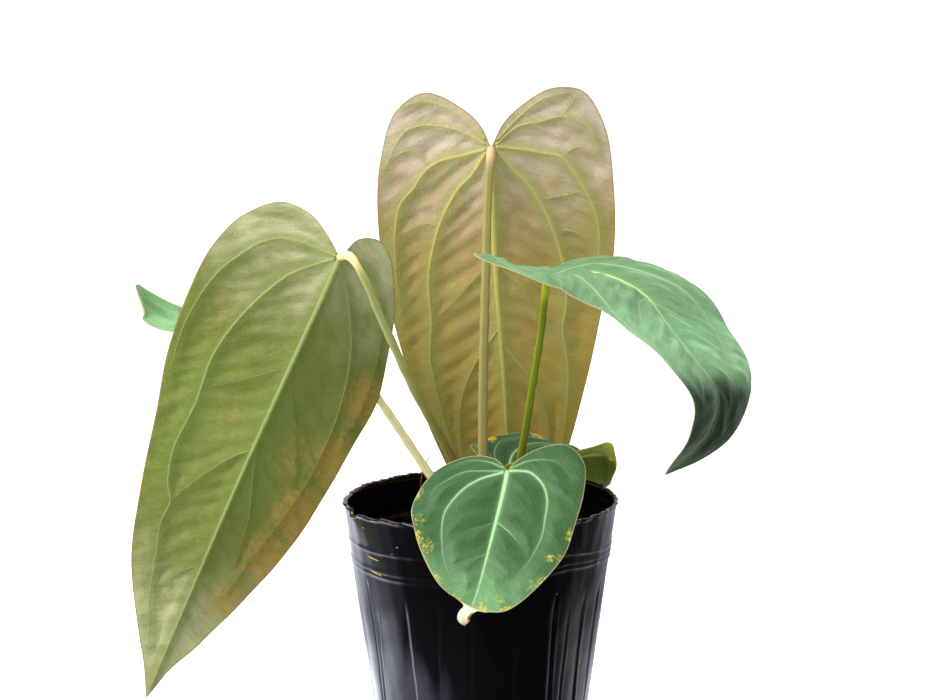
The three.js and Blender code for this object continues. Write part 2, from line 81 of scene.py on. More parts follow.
# Relief of the blades; lengths and pitches are in millimetres
CURL_SPAN = 50
LOBE_SPAN = 30
VEIN_PITCH = 1.1
VEIN_SIDES = 12
STALK_PITCH = 1.6
PLEAT_PITCH, PLEAT_SLANT = 9.5, 0.6
CALM_RIM = 8
OPEN_TISSUE = 4.5
FLUTTER = 0.5
THIN_RIM = 4
RIDGE_UNDER_VEIN = 0.2
FAR_FROM_RIM = 9.0

# Shapes of the leaves, in millimetres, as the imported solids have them.
# Outline and vein points are shares of (half width, length): (0, 0) at the petiole, (0, 1) at the tip.
# In a vein, a negative first share lies in the left half. A vein's kind gives its width and rise.
LONG_HEART = [(0.2, -0.07), (0.5, -0.12), (0.78, -0.09), (0.96, 0.03), (1, 0.2), (0.9, 0.42), (0.72, 0.6),
              (0.5, 0.76), (0.25, 0.9), (0.07, 0.975)]
BROAD_HEART = [(0.14, -0.1), (0.38, -0.19), (0.66, -0.2), (0.9, -0.1), (1, 0.1), (0.95, 0.33), (0.8, 0.54),
               (0.55, 0.74), (0.27, 0.89), (0.08, 0.975)]
SHORT_HEART = [(0.2, -0.09), (0.5, -0.17), (0.8, -0.15), (0.97, 0), (1, 0.2), (0.9, 0.45), (0.7, 0.66),
               (0.4, 0.85), (0.15, 0.96)]


def mirrored(kind, shares):
    """A vein in the right half and its twin in the left half."""
    return [(kind, shares), (kind, [(-x, y) for x, y in shares])]


# A plain pattern for a heart-shaped blade: two basal veins a side that swing round to the tip
HEART_VEINS = [
    ("midrib", [(0, 0), (0, 0.5), (0, 0.96)]),
    *mirrored("basal", [(0.05, 0.01), (0.3, 0.07), (0.52, 0.18), (0.62, 0.34), (0.58, 0.55), (0.4, 0.76),
                        (0.12, 0.93)]),
    *mirrored("branch", [(0.04, 0), (0.35, 0), (0.68, 0.06), (0.86, 0.2), (0.84, 0.38), (0.7, 0.55)]),
    *mirrored("branch", [(0.04, -0.01), (0.3, -0.07), (0.58, -0.09), (0.8, -0.03)]),
    ("cross", [(0, 0.3), (0.3, 0.38), (0.6, 0.5)]),
    ("cross", [(0, 0.27), (-0.3, 0.35), (-0.61, 0.46)]),
    ("cross", [(0, 0.52), (0.25, 0.6), (0.47, 0.69)]),
    ("cross", [(0, 0.49), (-0.25, 0.57), (-0.5, 0.66)]),
]

# A leaf's entries:
# spine: its middle line from behind the petiole to the tip. The second point is where the petiole meets it.
# face: where the upper side looks, at even steps from the petiole to the tip; ease: how far that is eased.
# half: width of the left and of the right half. left, right: outline of each half.
# fold, curl: how far a half is folded up, in degrees, and how far it bends over CURL_SPAN, each as
# (at the petiole, at the tip) for the left and for the right half. lobe: rise of the two lobes.
# petiole: its middle line from the crown up; shaft: its radius; joint_reach: length of its joint.
# stations, rungs: steps of the mesh along the outline and from the midrib to the outline.
# upper, under: colours of a side at base, middle and tip; the turns are where one passes into the next.
# under_tone: colour beside the veins of the underside. margin: colour of the rim.
# glow: share of light that passes through the underside; glow_white: how pale that light is.
# stalk: colours of the petiole's foot, shaft and joint; stalk_turn: where its foot passes into its shaft.
# shaded: where painted shade darkens the blade's colour; thin_part: where it is thin and pale, partly painted
# light shining through.
# stains: (across, along) as in an outline, radius and strength; rim_flecks: strength of flecks along the rim.
# vein_scale: how wide the veins are for their kind. slot: the side that the piece is known by.
PLAIN_LEAF = dict(
    ease=0,
    lobe=(0, 0),
    joint_reach=5,
    vein_scale=1,
    stations=210,
    rungs=56,
    upper=("deep_upper", "velvet_upper", "deep_upper"),
    upper_turns=(0.1, 0.4, 0.4, 0.8),
    under=("olive_under", "olive_under", "pale_olive_under"),
    under_turns=(0.1, 0.4, 0.4, 0.9),
    under_tone="green_tone",
    upper_vein="vein_upper",
    under_vein="vein_under",
    glow=0.4,
    glow_white=0.7,
    shaded=None,
    thin_part=None,
    dry_tip=False,
    margin="margin_cream",
    stalk=("stalk_straw", "stalk_green", "joint_green"),
    stalk_turn=(0.1, 0.5),
    stains=[],
    stain_kind="fleck",
    rim_flecks=0,
    slot="leaf_upper",
)


def both(start, end):
    """A fold or curl that is alike in both halves of a blade."""
    return (start, end), (start, end)


LEAVES = {
    "tall_back": dict(
        spine=[(4.7, 24, 296), (4.7, 30, 269.6), (7, 42, 215), (11, 54, 165), (14, 66, 115), (17, 74, 62)],
        face=[(0, 1, 0.3), (0, 1, 0.3)],
        half=(52, 54),
        left=[(0.08, -0.041), (0.23, -0.075), (0.57, -0.108), (0.81, -0.067), (0.95, 0.028), (1, 0.15),
              (0.93, 0.38), (0.82, 0.523), (0.67, 0.65), (0.42, 0.81), (0.2, 0.92), (0.06, 0.98)],
        right=[(0.1, -0.048), (0.23, -0.08), (0.5, -0.12), (0.76, -0.111), (0.94, -0.034), (1.01, 0.105),
               (0.99, 0.261), (0.85, 0.403), (0.68, 0.564), (0.53, 0.69), (0.34, 0.83), (0.16, 0.935),
               (0.05, 0.985)],
        fold=both(10, 6),
        curl=both(-8, -8),
        veins=[
            ("midrib", [(0, 0), (0, 0.3), (0, 0.6), (0, 0.96)]),
            ("basal", [(-0.04, 0.01), (-0.17, 0.06), (-0.29, 0.09), (-0.47, 0.17), (-0.59, 0.28),
                       (-0.6, 0.37), (-0.64, 0.47), (-0.61, 0.54), (-0.55, 0.62), (-0.44, 0.73),
                       (-0.28, 0.83)]),
            ("basal", [(0.04, 0.01), (0.17, 0.05), (0.31, 0.09), (0.47, 0.17), (0.58, 0.29), (0.57, 0.37),
                       (0.53, 0.41), (0.55, 0.52), (0.5, 0.64), (0.4, 0.75), (0.24, 0.85)]),
            ("basal", [(-0.04, 0.005), (-0.25, 0.02), (-0.42, 0.03), (-0.56, 0.05), (-0.68, 0.09),
                       (-0.79, 0.12), (-0.85, 0.17), (-0.87, 0.26), (-0.84, 0.36)]),
            ("basal", [(0.04, 0), (0.26, 0.01), (0.43, 0.02), (0.57, 0.03), (0.67, 0.06), (0.8, 0.12),
                       (0.87, 0.18), (0.87, 0.25), (0.82, 0.34)]),
            ("branch", [(-0.04, -0.005), (-0.25, -0.03), (-0.43, -0.04), (-0.59, -0.04), (-0.72, -0.03),
                        (-0.82, 0), (-0.92, 0.05)]),
            ("branch", [(0.04, -0.005), (0.22, -0.04), (0.41, -0.05), (0.58, -0.06), (0.72, -0.05),
                        (0.82, -0.03), (0.89, 0.02)]),
            ("branch", [(-0.05, -0.015), (-0.25, -0.06), (-0.39, -0.08), (-0.59, -0.09), (-0.73, -0.08)]),
            ("branch", [(0.05, -0.015), (0.27, -0.07), (0.44, -0.1), (0.61, -0.11)]),
            ("cross", [(0, 0.24), (-0.2, 0.29), (-0.4, 0.34), (-0.6, 0.38)]),
            ("cross", [(0.02, 0.26), (0.2, 0.31), (0.36, 0.38), (0.53, 0.42)]),
            ("cross", [(-0.47, 0.17), (-0.6, 0.165), (-0.84, 0.19)]),
            ("cross", [(-0.54, 0.04), (-0.68, 0.01), (-0.83, 0.02)]),
            ("cross", [(0.45, 0.12), (0.6, 0.115), (0.8, 0.11)]),
            ("cross", [(0.52, 0.19), (0.68, 0.2), (0.86, 0.24)]),
            ("cross", [(0.58, 0.03), (0.72, 0.01), (0.87, 0.03)]),
            ("cross", [(0.58, -0.06), (0.69, -0.1)]),
            ("cross", [(0.03, 0.5), (0.14, 0.55), (0.2, 0.62)]),
            ("branch", [(-0.01, 0.4), (-0.22, 0.47), (-0.36, 0.54), (-0.42, 0.61), (-0.41, 0.7),
                        (-0.28, 0.83)]),
            ("branch", [(0.01, 0.44), (0.14, 0.49), (0.23, 0.53), (0.31, 0.58), (0.36, 0.64), (0.34, 0.72)]),
        ],
        petiole=[(4.4, 7.5, 94), (1.6, 6, 120), (1.1, 5.5, 137), (1.1, 8, 161), (2, 14.5, 204),
                 (3.3, 23.5, 247), (4.6, 28.7, 267.5)],
        shaft=2.15,
        joint_reach=3,
        vein_scale=1.3,
        # Underside from pink lobes through tan to an amber tip; how bright it runs from top to tip is partly
        # painted light
        under=("pink_under", "tan_under", "amber_under"),
        under_turns=(-0.06, 0.26, 0.26, 0.7),
        under_tone="straw_tone",
        under_vein="vein_straw",
        stalk=("stalk_tan", "stalk_pink", "joint_pink"),
        margin="margin_rust",
        slot="leaf_under",
    ),
    "left": dict(
        spine=[(-52, -2, 246), (-59.9, -5, 224), (-81, -10, 178), (-103, -17, 130), (-123, -24, 84),
               (-142.6, -30, 38.3)],
        face=[(-0.35, 1, 0.1), (-0.35, 1, 0.1)],
        half=(53, 49),
        left=[(0.11, -0.026), (0.34, -0.067), (0.61, -0.07), (0.83, -0.015), (0.97, 0.086), (0.99, 0.182),
              (0.94, 0.325), (0.83, 0.442), (0.7, 0.595), (0.55, 0.737), (0.27, 0.873), (0.12, 0.937)],
        right=[(0.14, -0.05), (0.4, -0.06), (0.68, 0.009), (0.89, 0.123), (1.01, 0.253), (0.94, 0.4),
               (0.88, 0.513), (0.74, 0.635), (0.54, 0.746), (0.33, 0.843), (0.12, 0.931)],
        fold=both(20, 12),
        curl=both(-6, -6),
        veins=[
            ("midrib", [(0, 0), (0, 0.3), (0, 0.6), (0, 0.97)]),
            ("basal", [(-0.03, 0.005), (-0.19, 0.04), (-0.33, 0.08), (-0.52, 0.19), (-0.6, 0.29),
                       (-0.57, 0.4), (-0.58, 0.5), (-0.51, 0.57), (-0.44, 0.6), (-0.44, 0.65),
                       (-0.39, 0.7), (-0.28, 0.81), (-0.15, 0.89)]),
            ("basal", [(-0.03, 0), (-0.31, 0), (-0.5, 0.01), (-0.64, 0.04), (-0.74, 0.08), (-0.85, 0.14),
                       (-0.91, 0.25), (-0.86, 0.36)]),
            ("branch", [(-0.03, -0.005), (-0.3, -0.04), (-0.55, -0.05), (-0.76, -0.03)]),
            ("basal", [(0.03, 0.01), (0.18, 0.05), (0.34, 0.1), (0.52, 0.17), (0.62, 0.24), (0.68, 0.33),
                       (0.67, 0.45), (0.58, 0.55), (0.46, 0.64), (0.34, 0.74)]),
            ("branch", [(0.03, 0), (0.3, 0), (0.55, 0.04), (0.76, 0.12), (0.88, 0.24), (0.86, 0.36)]),
            ("cross", [(0.01, 0.27), (0.29, 0.35), (0.59, 0.48)]),
            ("cross", [(-0.01, 0.25), (-0.24, 0.3), (-0.58, 0.37)]),
            ("branch", [(-0.01, 0.44), (-0.13, 0.47), (-0.29, 0.53), (-0.44, 0.6)]),
            ("cross", [(-0.02, 0.7), (-0.14, 0.73), (-0.29, 0.78)]),
            ("branch", [(0.01, 0.43), (0.13, 0.5), (0.25, 0.58), (0.31, 0.68)]),
        ],
        petiole=[(-1.3, -0.7, 94), (-6, -1.2, 120), (-12.8, -2, 137.7), (-27.8, -6, 166), (-37.8, -9, 188.5),
                 (-43.6, -11, 202), (-48.9, -12.8, 215.4), (-55.3, -11, 225.2), (-59.5, -6.6, 224.6)],
        shaft=1.95,
        joint_reach=9,
        vein_scale=1.05,
        under=("pale_olive_under", "olive_under", "sage_under"),
        under_turns=(-0.08, 0.24, 0.6, 0.95),
        stalk=("stalk_umber", "stalk_olive", "joint_cream"),
        stalk_turn=(0.2, 0.8),
        margin="margin_rust",
        slot="leaf_under",
        stain_kind="blush",
        rim_flecks=0.25,
        stains=[(0.85, 0.26, 13, 0.6), (0.88, 0.4, 14, 0.75), (0.75, 0.54, 15, 0.8), (0.6, 0.65, 14, 0.75),
                (0.4, 0.76, 12, 0.55), (0.45, 0.42, 12, 0.4), (-0.25, 0.4, 12, 0.25), (-0.7, 0.2, 12, 0.25)],
    ),
    "right": dict(
        spine=[(6.8, -12.6, 221.2), (27.7, -16.2, 217.2), (45.8, -19.4, 218.7), (66.5, -31.4, 211.1),
               (76, -41.2, 200.8), (91.6, -60, 181.4), (94.1, -62.9, 173.9), (90.6, -62.6, 159.4),
               (73.9, -59.6, 141.4)],
        face=[(0.3, -0.06, 0.83), (0.43, -0.46, 0.81), (0.62, -0.48, 0.59), (0.84, -0.47, 0.15),
              (0.6, -0.46, -0.6)],
        ease=30,
        half=(47, 41.6),
        left=LONG_HEART,
        right=BROAD_HEART,
        fold=((6, 10), (15.6, -0.9)),
        curl=((-40, -1), (-22.6, -7.5)),
        lobe=(-1.5, 2),
        veins=[
            ("midrib", [(0, 0), (-0.04, 0.2), (0.02, 0.4), (0.08, 0.52), (0.1, 0.61), (0, 0.7), (-0.04, 0.82),
                        (-0.03, 0.96)]),
            ("basal", [(0.05, 0.02), (0.22, 0.06), (0.41, 0.13), (0.56, 0.21), (0.74, 0.34), (0.79, 0.44),
                       (0.78, 0.52), (0.66, 0.66), (0.4, 0.81)]),
            ("branch", [(0.02, 0.33), (0.22, 0.35), (0.43, 0.42), (0.71, 0.52), (0.65, 0.57), (0.6, 0.64),
                        (0.45, 0.69)]),
            ("basal", [(-0.05, 0.01), (-0.24, 0.08), (-0.4, 0.21), (-0.54, 0.31), (-0.6, 0.4), (-0.53, 0.51),
                       (-0.36, 0.61), (-0.22, 0.76)]),
            ("branch", [(0, 0.35), (-0.18, 0.41), (-0.29, 0.48), (-0.39, 0.54)]),
            ("branch", [(0.1, 0.6), (0.2, 0.64), (0.34, 0.71)]),
            ("branch", [(0, 0.69), (-0.14, 0.73), (-0.26, 0.8)]),
            ("cross", [(0.05, 0), (0.38, 0), (0.7, 0.06), (0.87, 0.2), (0.85, 0.36)]),
            ("cross", [(-0.05, 0), (-0.38, 0), (-0.7, 0.06), (-0.84, 0.2), (-0.82, 0.36)]),
            ("branch", [(0.04, -0.01), (0.3, -0.07), (0.58, -0.1), (0.8, -0.03)]),
            ("cross", [(-0.04, -0.01), (-0.3, -0.05), (-0.58, -0.07), (-0.8, -0.02)]),
        ],
        petiole=[(10.3, -2.7, 94), (14, -6, 120), (17, -8, 137.5), (19.1, -9.5, 150), (22.3, -12, 172),
                 (25.5, -14.2, 194), (27.6, -16.2, 216.7)],
        shaft=1.75,
        rungs=60,
        # Pale at the base, velvet in the middle, then darker towards the tip with painted shade
        upper=("velvet_pale", "velvet_upper", "droop_upper"),
        upper_turns=(0.3, 0.5, 0.5, 1.5),
        upper_vein="vein_lime",
        stalk=("stalk_umber", "stalk_green", "joint_green"),
        stalk_turn=(0.2, 0.75),
        # Painted shade over the drooping end
        shaded=(0.63, 0.72, 0.97),
        stains=[(0.3, 0.27, 1, 1.1)],
    ),
    "front": dict(
        spine=[(14, -38, 156), (10.6, -52, 141.1), (4.6, -72, 121), (-3.8, -90, 96), (-6.8, -90, 91.5),
               (-6.8, -89.5, 87.5)],
        face=[(0, -0.6, 0.8), (0, -0.8, 0.6)],
        half=(33, 34),
        left=[(0.08, -0.069), (0.36, -0.177), (0.68, -0.204), (0.92, -0.107), (0.98, 0.084), (0.95, 0.305),
              (0.9, 0.492), (0.66, 0.706), (0.42, 0.833), (0.2, 0.868), (0.08, 0.885), (0.08, 0.95)],
        right=[(0.19, -0.07), (0.47, -0.066), (0.76, 0.036), (0.95, 0.199), (1, 0.392), (0.92, 0.492),
               (0.78, 0.619), (0.47, 0.808), (0.2, 0.885), (0.08, 0.9), (0.08, 0.96)],
        fold=both(6, 6),
        curl=both(-10, -10),
        veins=[
            ("midrib", [(0, 0), (0, 0.45), (0, 0.87)]),
            ("basal", [(0.03, 0.01), (0.28, 0.08), (0.44, 0.16), (0.55, 0.26), (0.61, 0.36), (0.6, 0.45),
                       (0.55, 0.55), (0.46, 0.67), (0.25, 0.8)]),
            ("basal", [(-0.03, 0), (-0.14, -0.01), (-0.27, -0.01), (-0.4, 0.03), (-0.5, 0.09), (-0.56, 0.17),
                       (-0.58, 0.29), (-0.59, 0.39), (-0.52, 0.54), (-0.36, 0.7)]),
            ("branch", [(0.03, 0.005), (0.3, 0.03), (0.51, 0.06), (0.67, 0.13), (0.81, 0.22), (0.85, 0.36)]),
            ("branch", [(-0.04, -0.02), (-0.23, -0.08), (-0.42, -0.1), (-0.6, -0.09), (-0.78, 0)]),
            ("branch", [(0.04, -0.01), (0.25, -0.04), (0.48, -0.03), (0.7, 0.04)]),
            ("branch", [(-0.02, 0.35), (-0.22, 0.41), (-0.48, 0.52)]),
            ("cross", [(0.01, 0.36), (0.25, 0.43), (0.55, 0.52)]),
            ("cross", [(0.01, 0.56), (0.2, 0.62), (0.42, 0.7)]),
            ("cross", [(-0.01, 0.58), (-0.2, 0.64), (-0.4, 0.67)]),
        ],
        petiole=[(5.6, -5.5, 94), (7.5, -15, 110), (9, -27, 121), (10, -40, 131.5), (10.6, -51.6, 140.5)],
        shaft=1.6,
        stations=170,
        rungs=48,
        upper=("green_upper", "green_upper", "front_tip"),
        upper_turns=(0.1, 0.5, 0.5, 0.85),
        dry_tip=True,
        rim_flecks=0.85,
        stains=[(0.92, 0.25, 5, 0.5), (0.88, 0.45, 6, 0.6), (0.72, 0.6, 7, 0.65), (0.5, 0.78, 5, 0.6),
                (-0.3, 0.8, 6, 0.55), (-0.62, 0.68, 4, 0.6), (-0.75, 0.52, 2.5, 0.9), (-0.1, 0.84, 4, 0.6)],
    ),
    "rear_low": dict(
        spine=[(3.1, 8, 126.8), (13.1, 14, 122.9), (26.5, 23, 123.9), (44, 42.2, 122.6), (50.2, 53.9, 114.6),
               (59.2, 64.5, 108.6)],
        face=[(0.03, -0.14, 0.89), (-0.34, -0.49, 0.42), (0.1, -0.34, 0.49)],
        ease=25,
        half=(31.4, 26.4),
        left=SHORT_HEART,
        right=SHORT_HEART,
        fold=((23.2, 28.2), (37.5, 60.1)),
        curl=((-37.4, -1), (-10.2, -0.6)),
        lobe=(3.1, 0),
        veins=HEART_VEINS,
        petiole=[(10.3, 4.7, 94), (12, 9.6, 110), (13, 13.6, 121.6)],
        shaft=1.6,
        stations=150,
        rungs=44,
        upper=("deep_upper", "green_upper", "deep_upper"),
        upper_turns=(0.0, 0.4, 0.4, 0.8),
        under=("moss_under", "moss_under", "fresh_under"),
        under_turns=(0.1, 0.4, 0.4, 1.5),
        # A thin pale part, partly painted light shining through the flap
        thin_part=(0.39, 0.52),
        glow=0.7,
        glow_white=0.25,
        margin="margin_yellow",
        stains=[(-0.97, 0.15, 3.2, 1), (-0.78, 0.52, 3.4, 1), (0.74, 0.57, 2.4, 1), (0.72, 0.65, 1.9, 0.9),
                (0.58, 0.68, 1.6, 0.9), (0.64, 0.71, 1.6, 0.9)],
        stain_kind="spot",
    ),
    "far_left": dict(
        spine=[(-77, 40.7, 194.9), (-85.8, 40, 193.4), (-110.2, 38.2, 189.4), (-134.9, 31.2, 190.9),
               (-149.2, 31.6, 199), (-152.3, 24, 209.2)],
        face=[(0, -0.35, 0.9), (0.09, -0.03, 0.87), (0.47, -0.51, 0.61)],
        half=(24, 24),
        left=SHORT_HEART,
        right=SHORT_HEART,
        fold=((9.6, 9.6), (6, 6)),
        curl=((-9.9, -9.9), (-10.7, -10.7)),
        veins=HEART_VEINS,
        petiole=[(-0.3, 4.7, 94), (-9, 6.4, 110), (-17.7, 8, 120.9), (-22.2, 10, 126.7), (-45.3, 20, 159.4),
                 (-64.7, 30, 183), (-78, 36.8, 192.3), (-85.6, 39.8, 192.2)],
        shaft=1.9,
        stations=140,
        rungs=40,
        upper=("fresh_upper", "fresh_upper", "fresh_upper"),
        upper_turns=(0.1, 0.5, 0.5, 0.9),
        under=("pale_olive_under", "pale_olive_under", "fresh_under"),
        under_turns=(0.1, 0.5, 0.5, 0.9),
        stalk=("stalk_straw", "stalk_straw", "joint_cream"),
    ),
}
LEAVES = {name: PLAIN_LEAF | leaf for name, leaf in LEAVES.items()}

# Width at a vein's foot and end, and how proud it stands of the underside and the upper side, in millimetres
VEIN_KINDS = {
    "midrib": (2.4, 1.1, 0.7, 0.14),
    "basal": (1.6, 0.8, 0.45, 0.1),
    "branch": (1.1, 0.6, 0.28, 0.07),
    "cross": (0.7, 0.35, 0.16, 0.04),
}
VEIN_STRENGTH = {"midrib": 1.0, "basal": 0.85, "branch": 0.6, "cross": 0.45}
VEIN_FADE = {"midrib": 0.35, "basal": 0.7, "branch": 0.6, "cross": 0.5}
# A weak vein lets the tissue beside it bulge as if it stood this much further off, in millimetres
VEIN_SLACK = {"cross": 2.6, "branch": 0.8}

# A kind of stain: its colour, where it starts, how strong it gets, size of its clouds, where it turns orange
STAIN_KINDS = {
    "blush": ("stain_rust", 0.1, 0.6, 0.35, None),
    "fleck": ("stain_yellow", 0.42, 0.7, 0.8, None),
    "spot": ("stain_yellow", 0.22, 0.95, 0.2, 0.62),
}

# Marks on the pot: bearing from the front (degrees), height, length, width (mm), slope (degrees)
YELLOW_SCRAPES = [(-53, 100.4, 9, 0.7, -4), (-52, 94.1, 8.5, 0.8, -5), (-68, 117, 3, 1.4, 20),
                  (-63, 116.2, 2.2, 0.7, 60), (-57, 113, 1, 0.6, 0), (-37, 108, 0.8, 0.6, 0),
                  (-40, 104.6, 0.7, 0.4, 30)]
PALE_SCRAPES = [(61, 102.6, 4, 0.5, 25), (60.5, 97, 3, 0.6, 10), (63, 108, 2, 0.3, 70), (35, 88, 0.7, 0.5, 0),
                (58, 55, 6, 0.25, 72)]
# Upright creases in the pot: bearing (degrees), depth, half width and height of the top (mm)
CREASES = [(-76, 0.45, 0.9, 84), (-61, 0.8, 0.7, 90), (-56.5, 0.45, 0.6, 78), (-35, 0.65, 0.8, 84),
           (-20, 0.4, 0.7, 88), (-5.5, 0.25, 0.7, 82), (14, 0.35, 0.9, 70), (35, 0.65, 0.8, 88),
           (43, 0.4, 0.6, 80), (54, 0.7, 0.8, 86), (67, 0.5, 0.8, 88), (84, 0.5, 0.9, 84)]
BACK_CREASES = 12
# Heights of the two ridge bands under the rim (mm) at bearings (degrees)
LOWER_BAND = ((-180, -60, -42, -22, 39, 68, 180), (95, 93, 93, 93.8, 98.4, 96.5, 95))
UPPER_BAND = ((-180, -60, -28, 39, 68, 180), (103, 103.5, 104.5, 105, 101.7, 103))
BAND_RISE, BAND_WIDTH, BAND_GAP = 0.42, 0.7, 2.3
# The cut rim in section: drop from its top and bulge from the outer face (mm)
LIP_PROFILE = ((1.1, 0.3), (0.5, 0.6), (0.08, 0.3), (0.0, -0.3), (0.05, -0.85), (0.5, -1.4), (1.2, -1.4))
# Middle line of the dry fibre (mm)
FIBRE_ROUTE = [(-27, 27, 85.5), (-27.5, 28, 98), (-27, 29.5, 112), (-26.2, 30, 122), (-24.6, 30, 127),
               (-21.8, 30, 133)]

# Camera and light, in metres; the camera dips by so many degrees from level
CAMERA_PLACE = (-0.0061, -0.828, 0.3035)
CAMERA_DIP = 8.23
SENSOR_WIDTH = 36
SOFTBOX_PLACE = (-0.75, -0.55, 0.85)
SOFTBOX_AIM = (0, 0, 0.15)
SOFTBOX_SIZE = 0.55
FLOOR_REACH = 8.0
FLOOR_CORNERS = ((-1, -1), (1, -1), (1, 1), (-1, 1))


def number_property(name, description, default, top, bottom=0, **options):
    """A number that a user may change, within its range."""
    return FloatProperty(name=name, description=description, default=default, min=bottom, max=top, **options)


def colour_property(name, colour, description):
    """A colour that a user may change, in linear light."""
    return FloatVectorProperty(name=name, description=description, default=colour, subtype="COLOR",
                               min=0, max=1)


class LeafLook(bpy.types.PropertyGroup):
    """Sizes of the leaves."""

    thickness: number_property("Blade thickness", "Between the two sides, in mm", 0.56, 0.8, bottom=0.2)
    quilt: number_property("Quilting", "How far a blade bulges between its veins, in mm", 1.6, 3)
    wave: number_property("Waves", "Height of the small folds over a blade, in mm", 0.5, 2)
    crinkle: number_property("Crinkles", "Height of the finest folds, in mm", 0.22, 1)
    sides: IntProperty(name="Petiole sides", description="Faces round a petiole", default=20, min=8, max=40)


class LeafColours(bpy.types.PropertyGroup):
    """Colours of blades, veins and petioles."""

    # The tall leaf's underside: its own tones, with the brightness from lobes to tip partly painted light
    pink_under: colour_property("Pink underside", (1.0, 0.76, 0.66), "Lobes of the tall leaf's underside")
    tan_under: colour_property("Tan underside", (0.58, 0.34, 0.13), "Middle of the tall leaf's underside")
    amber_under: colour_property("Amber underside", (0.66, 0.31, 0.04), "Tip of the tall leaf's underside")
    straw_tone: colour_property("Straw zones", (0.42, 0.42, 0.12), "Beside the veins of the tall leaf")
    pale_olive_under: colour_property("Pale olive underside", (0.88, 0.85, 0.52), "Base of an underside")
    olive_under: colour_property("Olive underside", (0.245, 0.265, 0.06), "Middle of an underside")
    sage_under: colour_property("Sage underside", (0.8, 0.8, 0.45), "Tip of the left leaf's underside")
    moss_under: colour_property("Moss underside", (0.05, 0.14, 0.001), "Underside of the low leaf")
    # Fresh yellow at full brightness; on the low leaf's thin flap it is partly painted light shining through
    fresh_under: colour_property("Fresh underside", (1, 1, 0.25), "Thin young part of an underside")
    green_tone: colour_property("Green zones", (0.15, 0.19, 0.025), "Green beside the veins of an underside")
    deep_upper: colour_property("Deep green", (0.035, 0.085, 0.03), "Darkest upper side")
    velvet_upper: colour_property("Velvet green", (0.29, 0.58, 0.31), "Blue-green upper side")
    velvet_pale: colour_property("Pale velvet green", (0.19, 0.37, 0.18), "Upper side that catches the light")
    # Painted shade: the colour of the right leaf's drooping end, standing in for the shade it hangs in
    droop_upper: colour_property("Shaded green", (0.004, 0.011, 0.001), "Shaded end of the right leaf")
    green_upper: colour_property("Mid green", (0.055, 0.145, 0.055), "Upper side of the front leaf")
    front_tip: colour_property("Pale green", (0.18, 0.39, 0.17), "End of the front leaf")
    fresh_upper: colour_property("Fresh green", (0.29, 0.57, 0.28), "Upper side of a young leaf")
    veil_tone: colour_property("Veil", (0.12, 0.24, 0.11), "Greyish green beside the veins of an upper side")
    dark_tone: colour_property("Dark zones", (0.022, 0.075, 0.016), "Between the veins of an upper side")
    vein_straw: colour_property("Straw vein", (0.72, 0.68, 0.2), "Veins under the tall leaf")
    vein_under: colour_property("Underside vein", (0.42, 0.52, 0.17), "Veins seen from below")
    vein_upper: colour_property("Upper vein", (0.56, 0.95, 0.45), "Veins seen from above")
    vein_lime: colour_property("Lime vein", (0.55, 0.95, 0.34), "Veins of the right leaf")
    stain_yellow: colour_property("Yellow fleck", (0.75, 0.66, 0.05), "Halo of a spot")
    stain_orange: colour_property("Orange spot", (0.9, 0.36, 0.02), "Heart of a spot")
    stain_rust: colour_property("Rust blush", (0.66, 0.34, 0.1), "Soft patches under the left leaf")
    dry_tip: colour_property("Dry tip", (0.95, 0.8, 0.62), "The dried end of the front leaf")
    # Painted shade on the left side of the curled dry tip, and its scorched end
    scorch_and_shade: colour_property("Dry edge", (0.22, 0.07, 0.03), "Its scorched edge")
    margin_rust: colour_property("Rust margin", (0.42, 0.22, 0.06), "Edge of an old leaf")
    margin_cream: colour_property("Cream margin", (0.62, 0.5, 0.3), "Edge of a green leaf")
    margin_yellow: colour_property("Yellow margin", (0.85, 0.66, 0.1), "Edge of the low leaf")
    stalk_straw: colour_property("Straw petiole", (0.66, 0.6, 0.32), "The pale far petiole")
    stalk_tan: colour_property("Tan petiole", (0.36, 0.29, 0.1), "Foot of the tall petiole")
    stalk_pink: colour_property("Pinkish petiole", (0.29, 0.26, 0.075), "The tall petiole")
    stalk_olive: colour_property("Olive petiole", (0.31, 0.35, 0.11), "The left petiole")
    stalk_umber: colour_property("Umber petiole", (0.12, 0.1, 0.003), "Foot of the left and right petioles")
    stalk_green: colour_property("Green petiole", (0.16, 0.2, 0.004), "The right petiole")
    joint_pink: colour_property("Pink joint", (0.7, 0.46, 0.26), "Knuckle under the tall leaf")
    joint_cream: colour_property("Cream joint", (1.0, 0.8, 0.36), "Knuckle under the left leaf")
    joint_green: colour_property("Green joint", (0.5, 0.62, 0.03), "Knuckle under the right leaf")


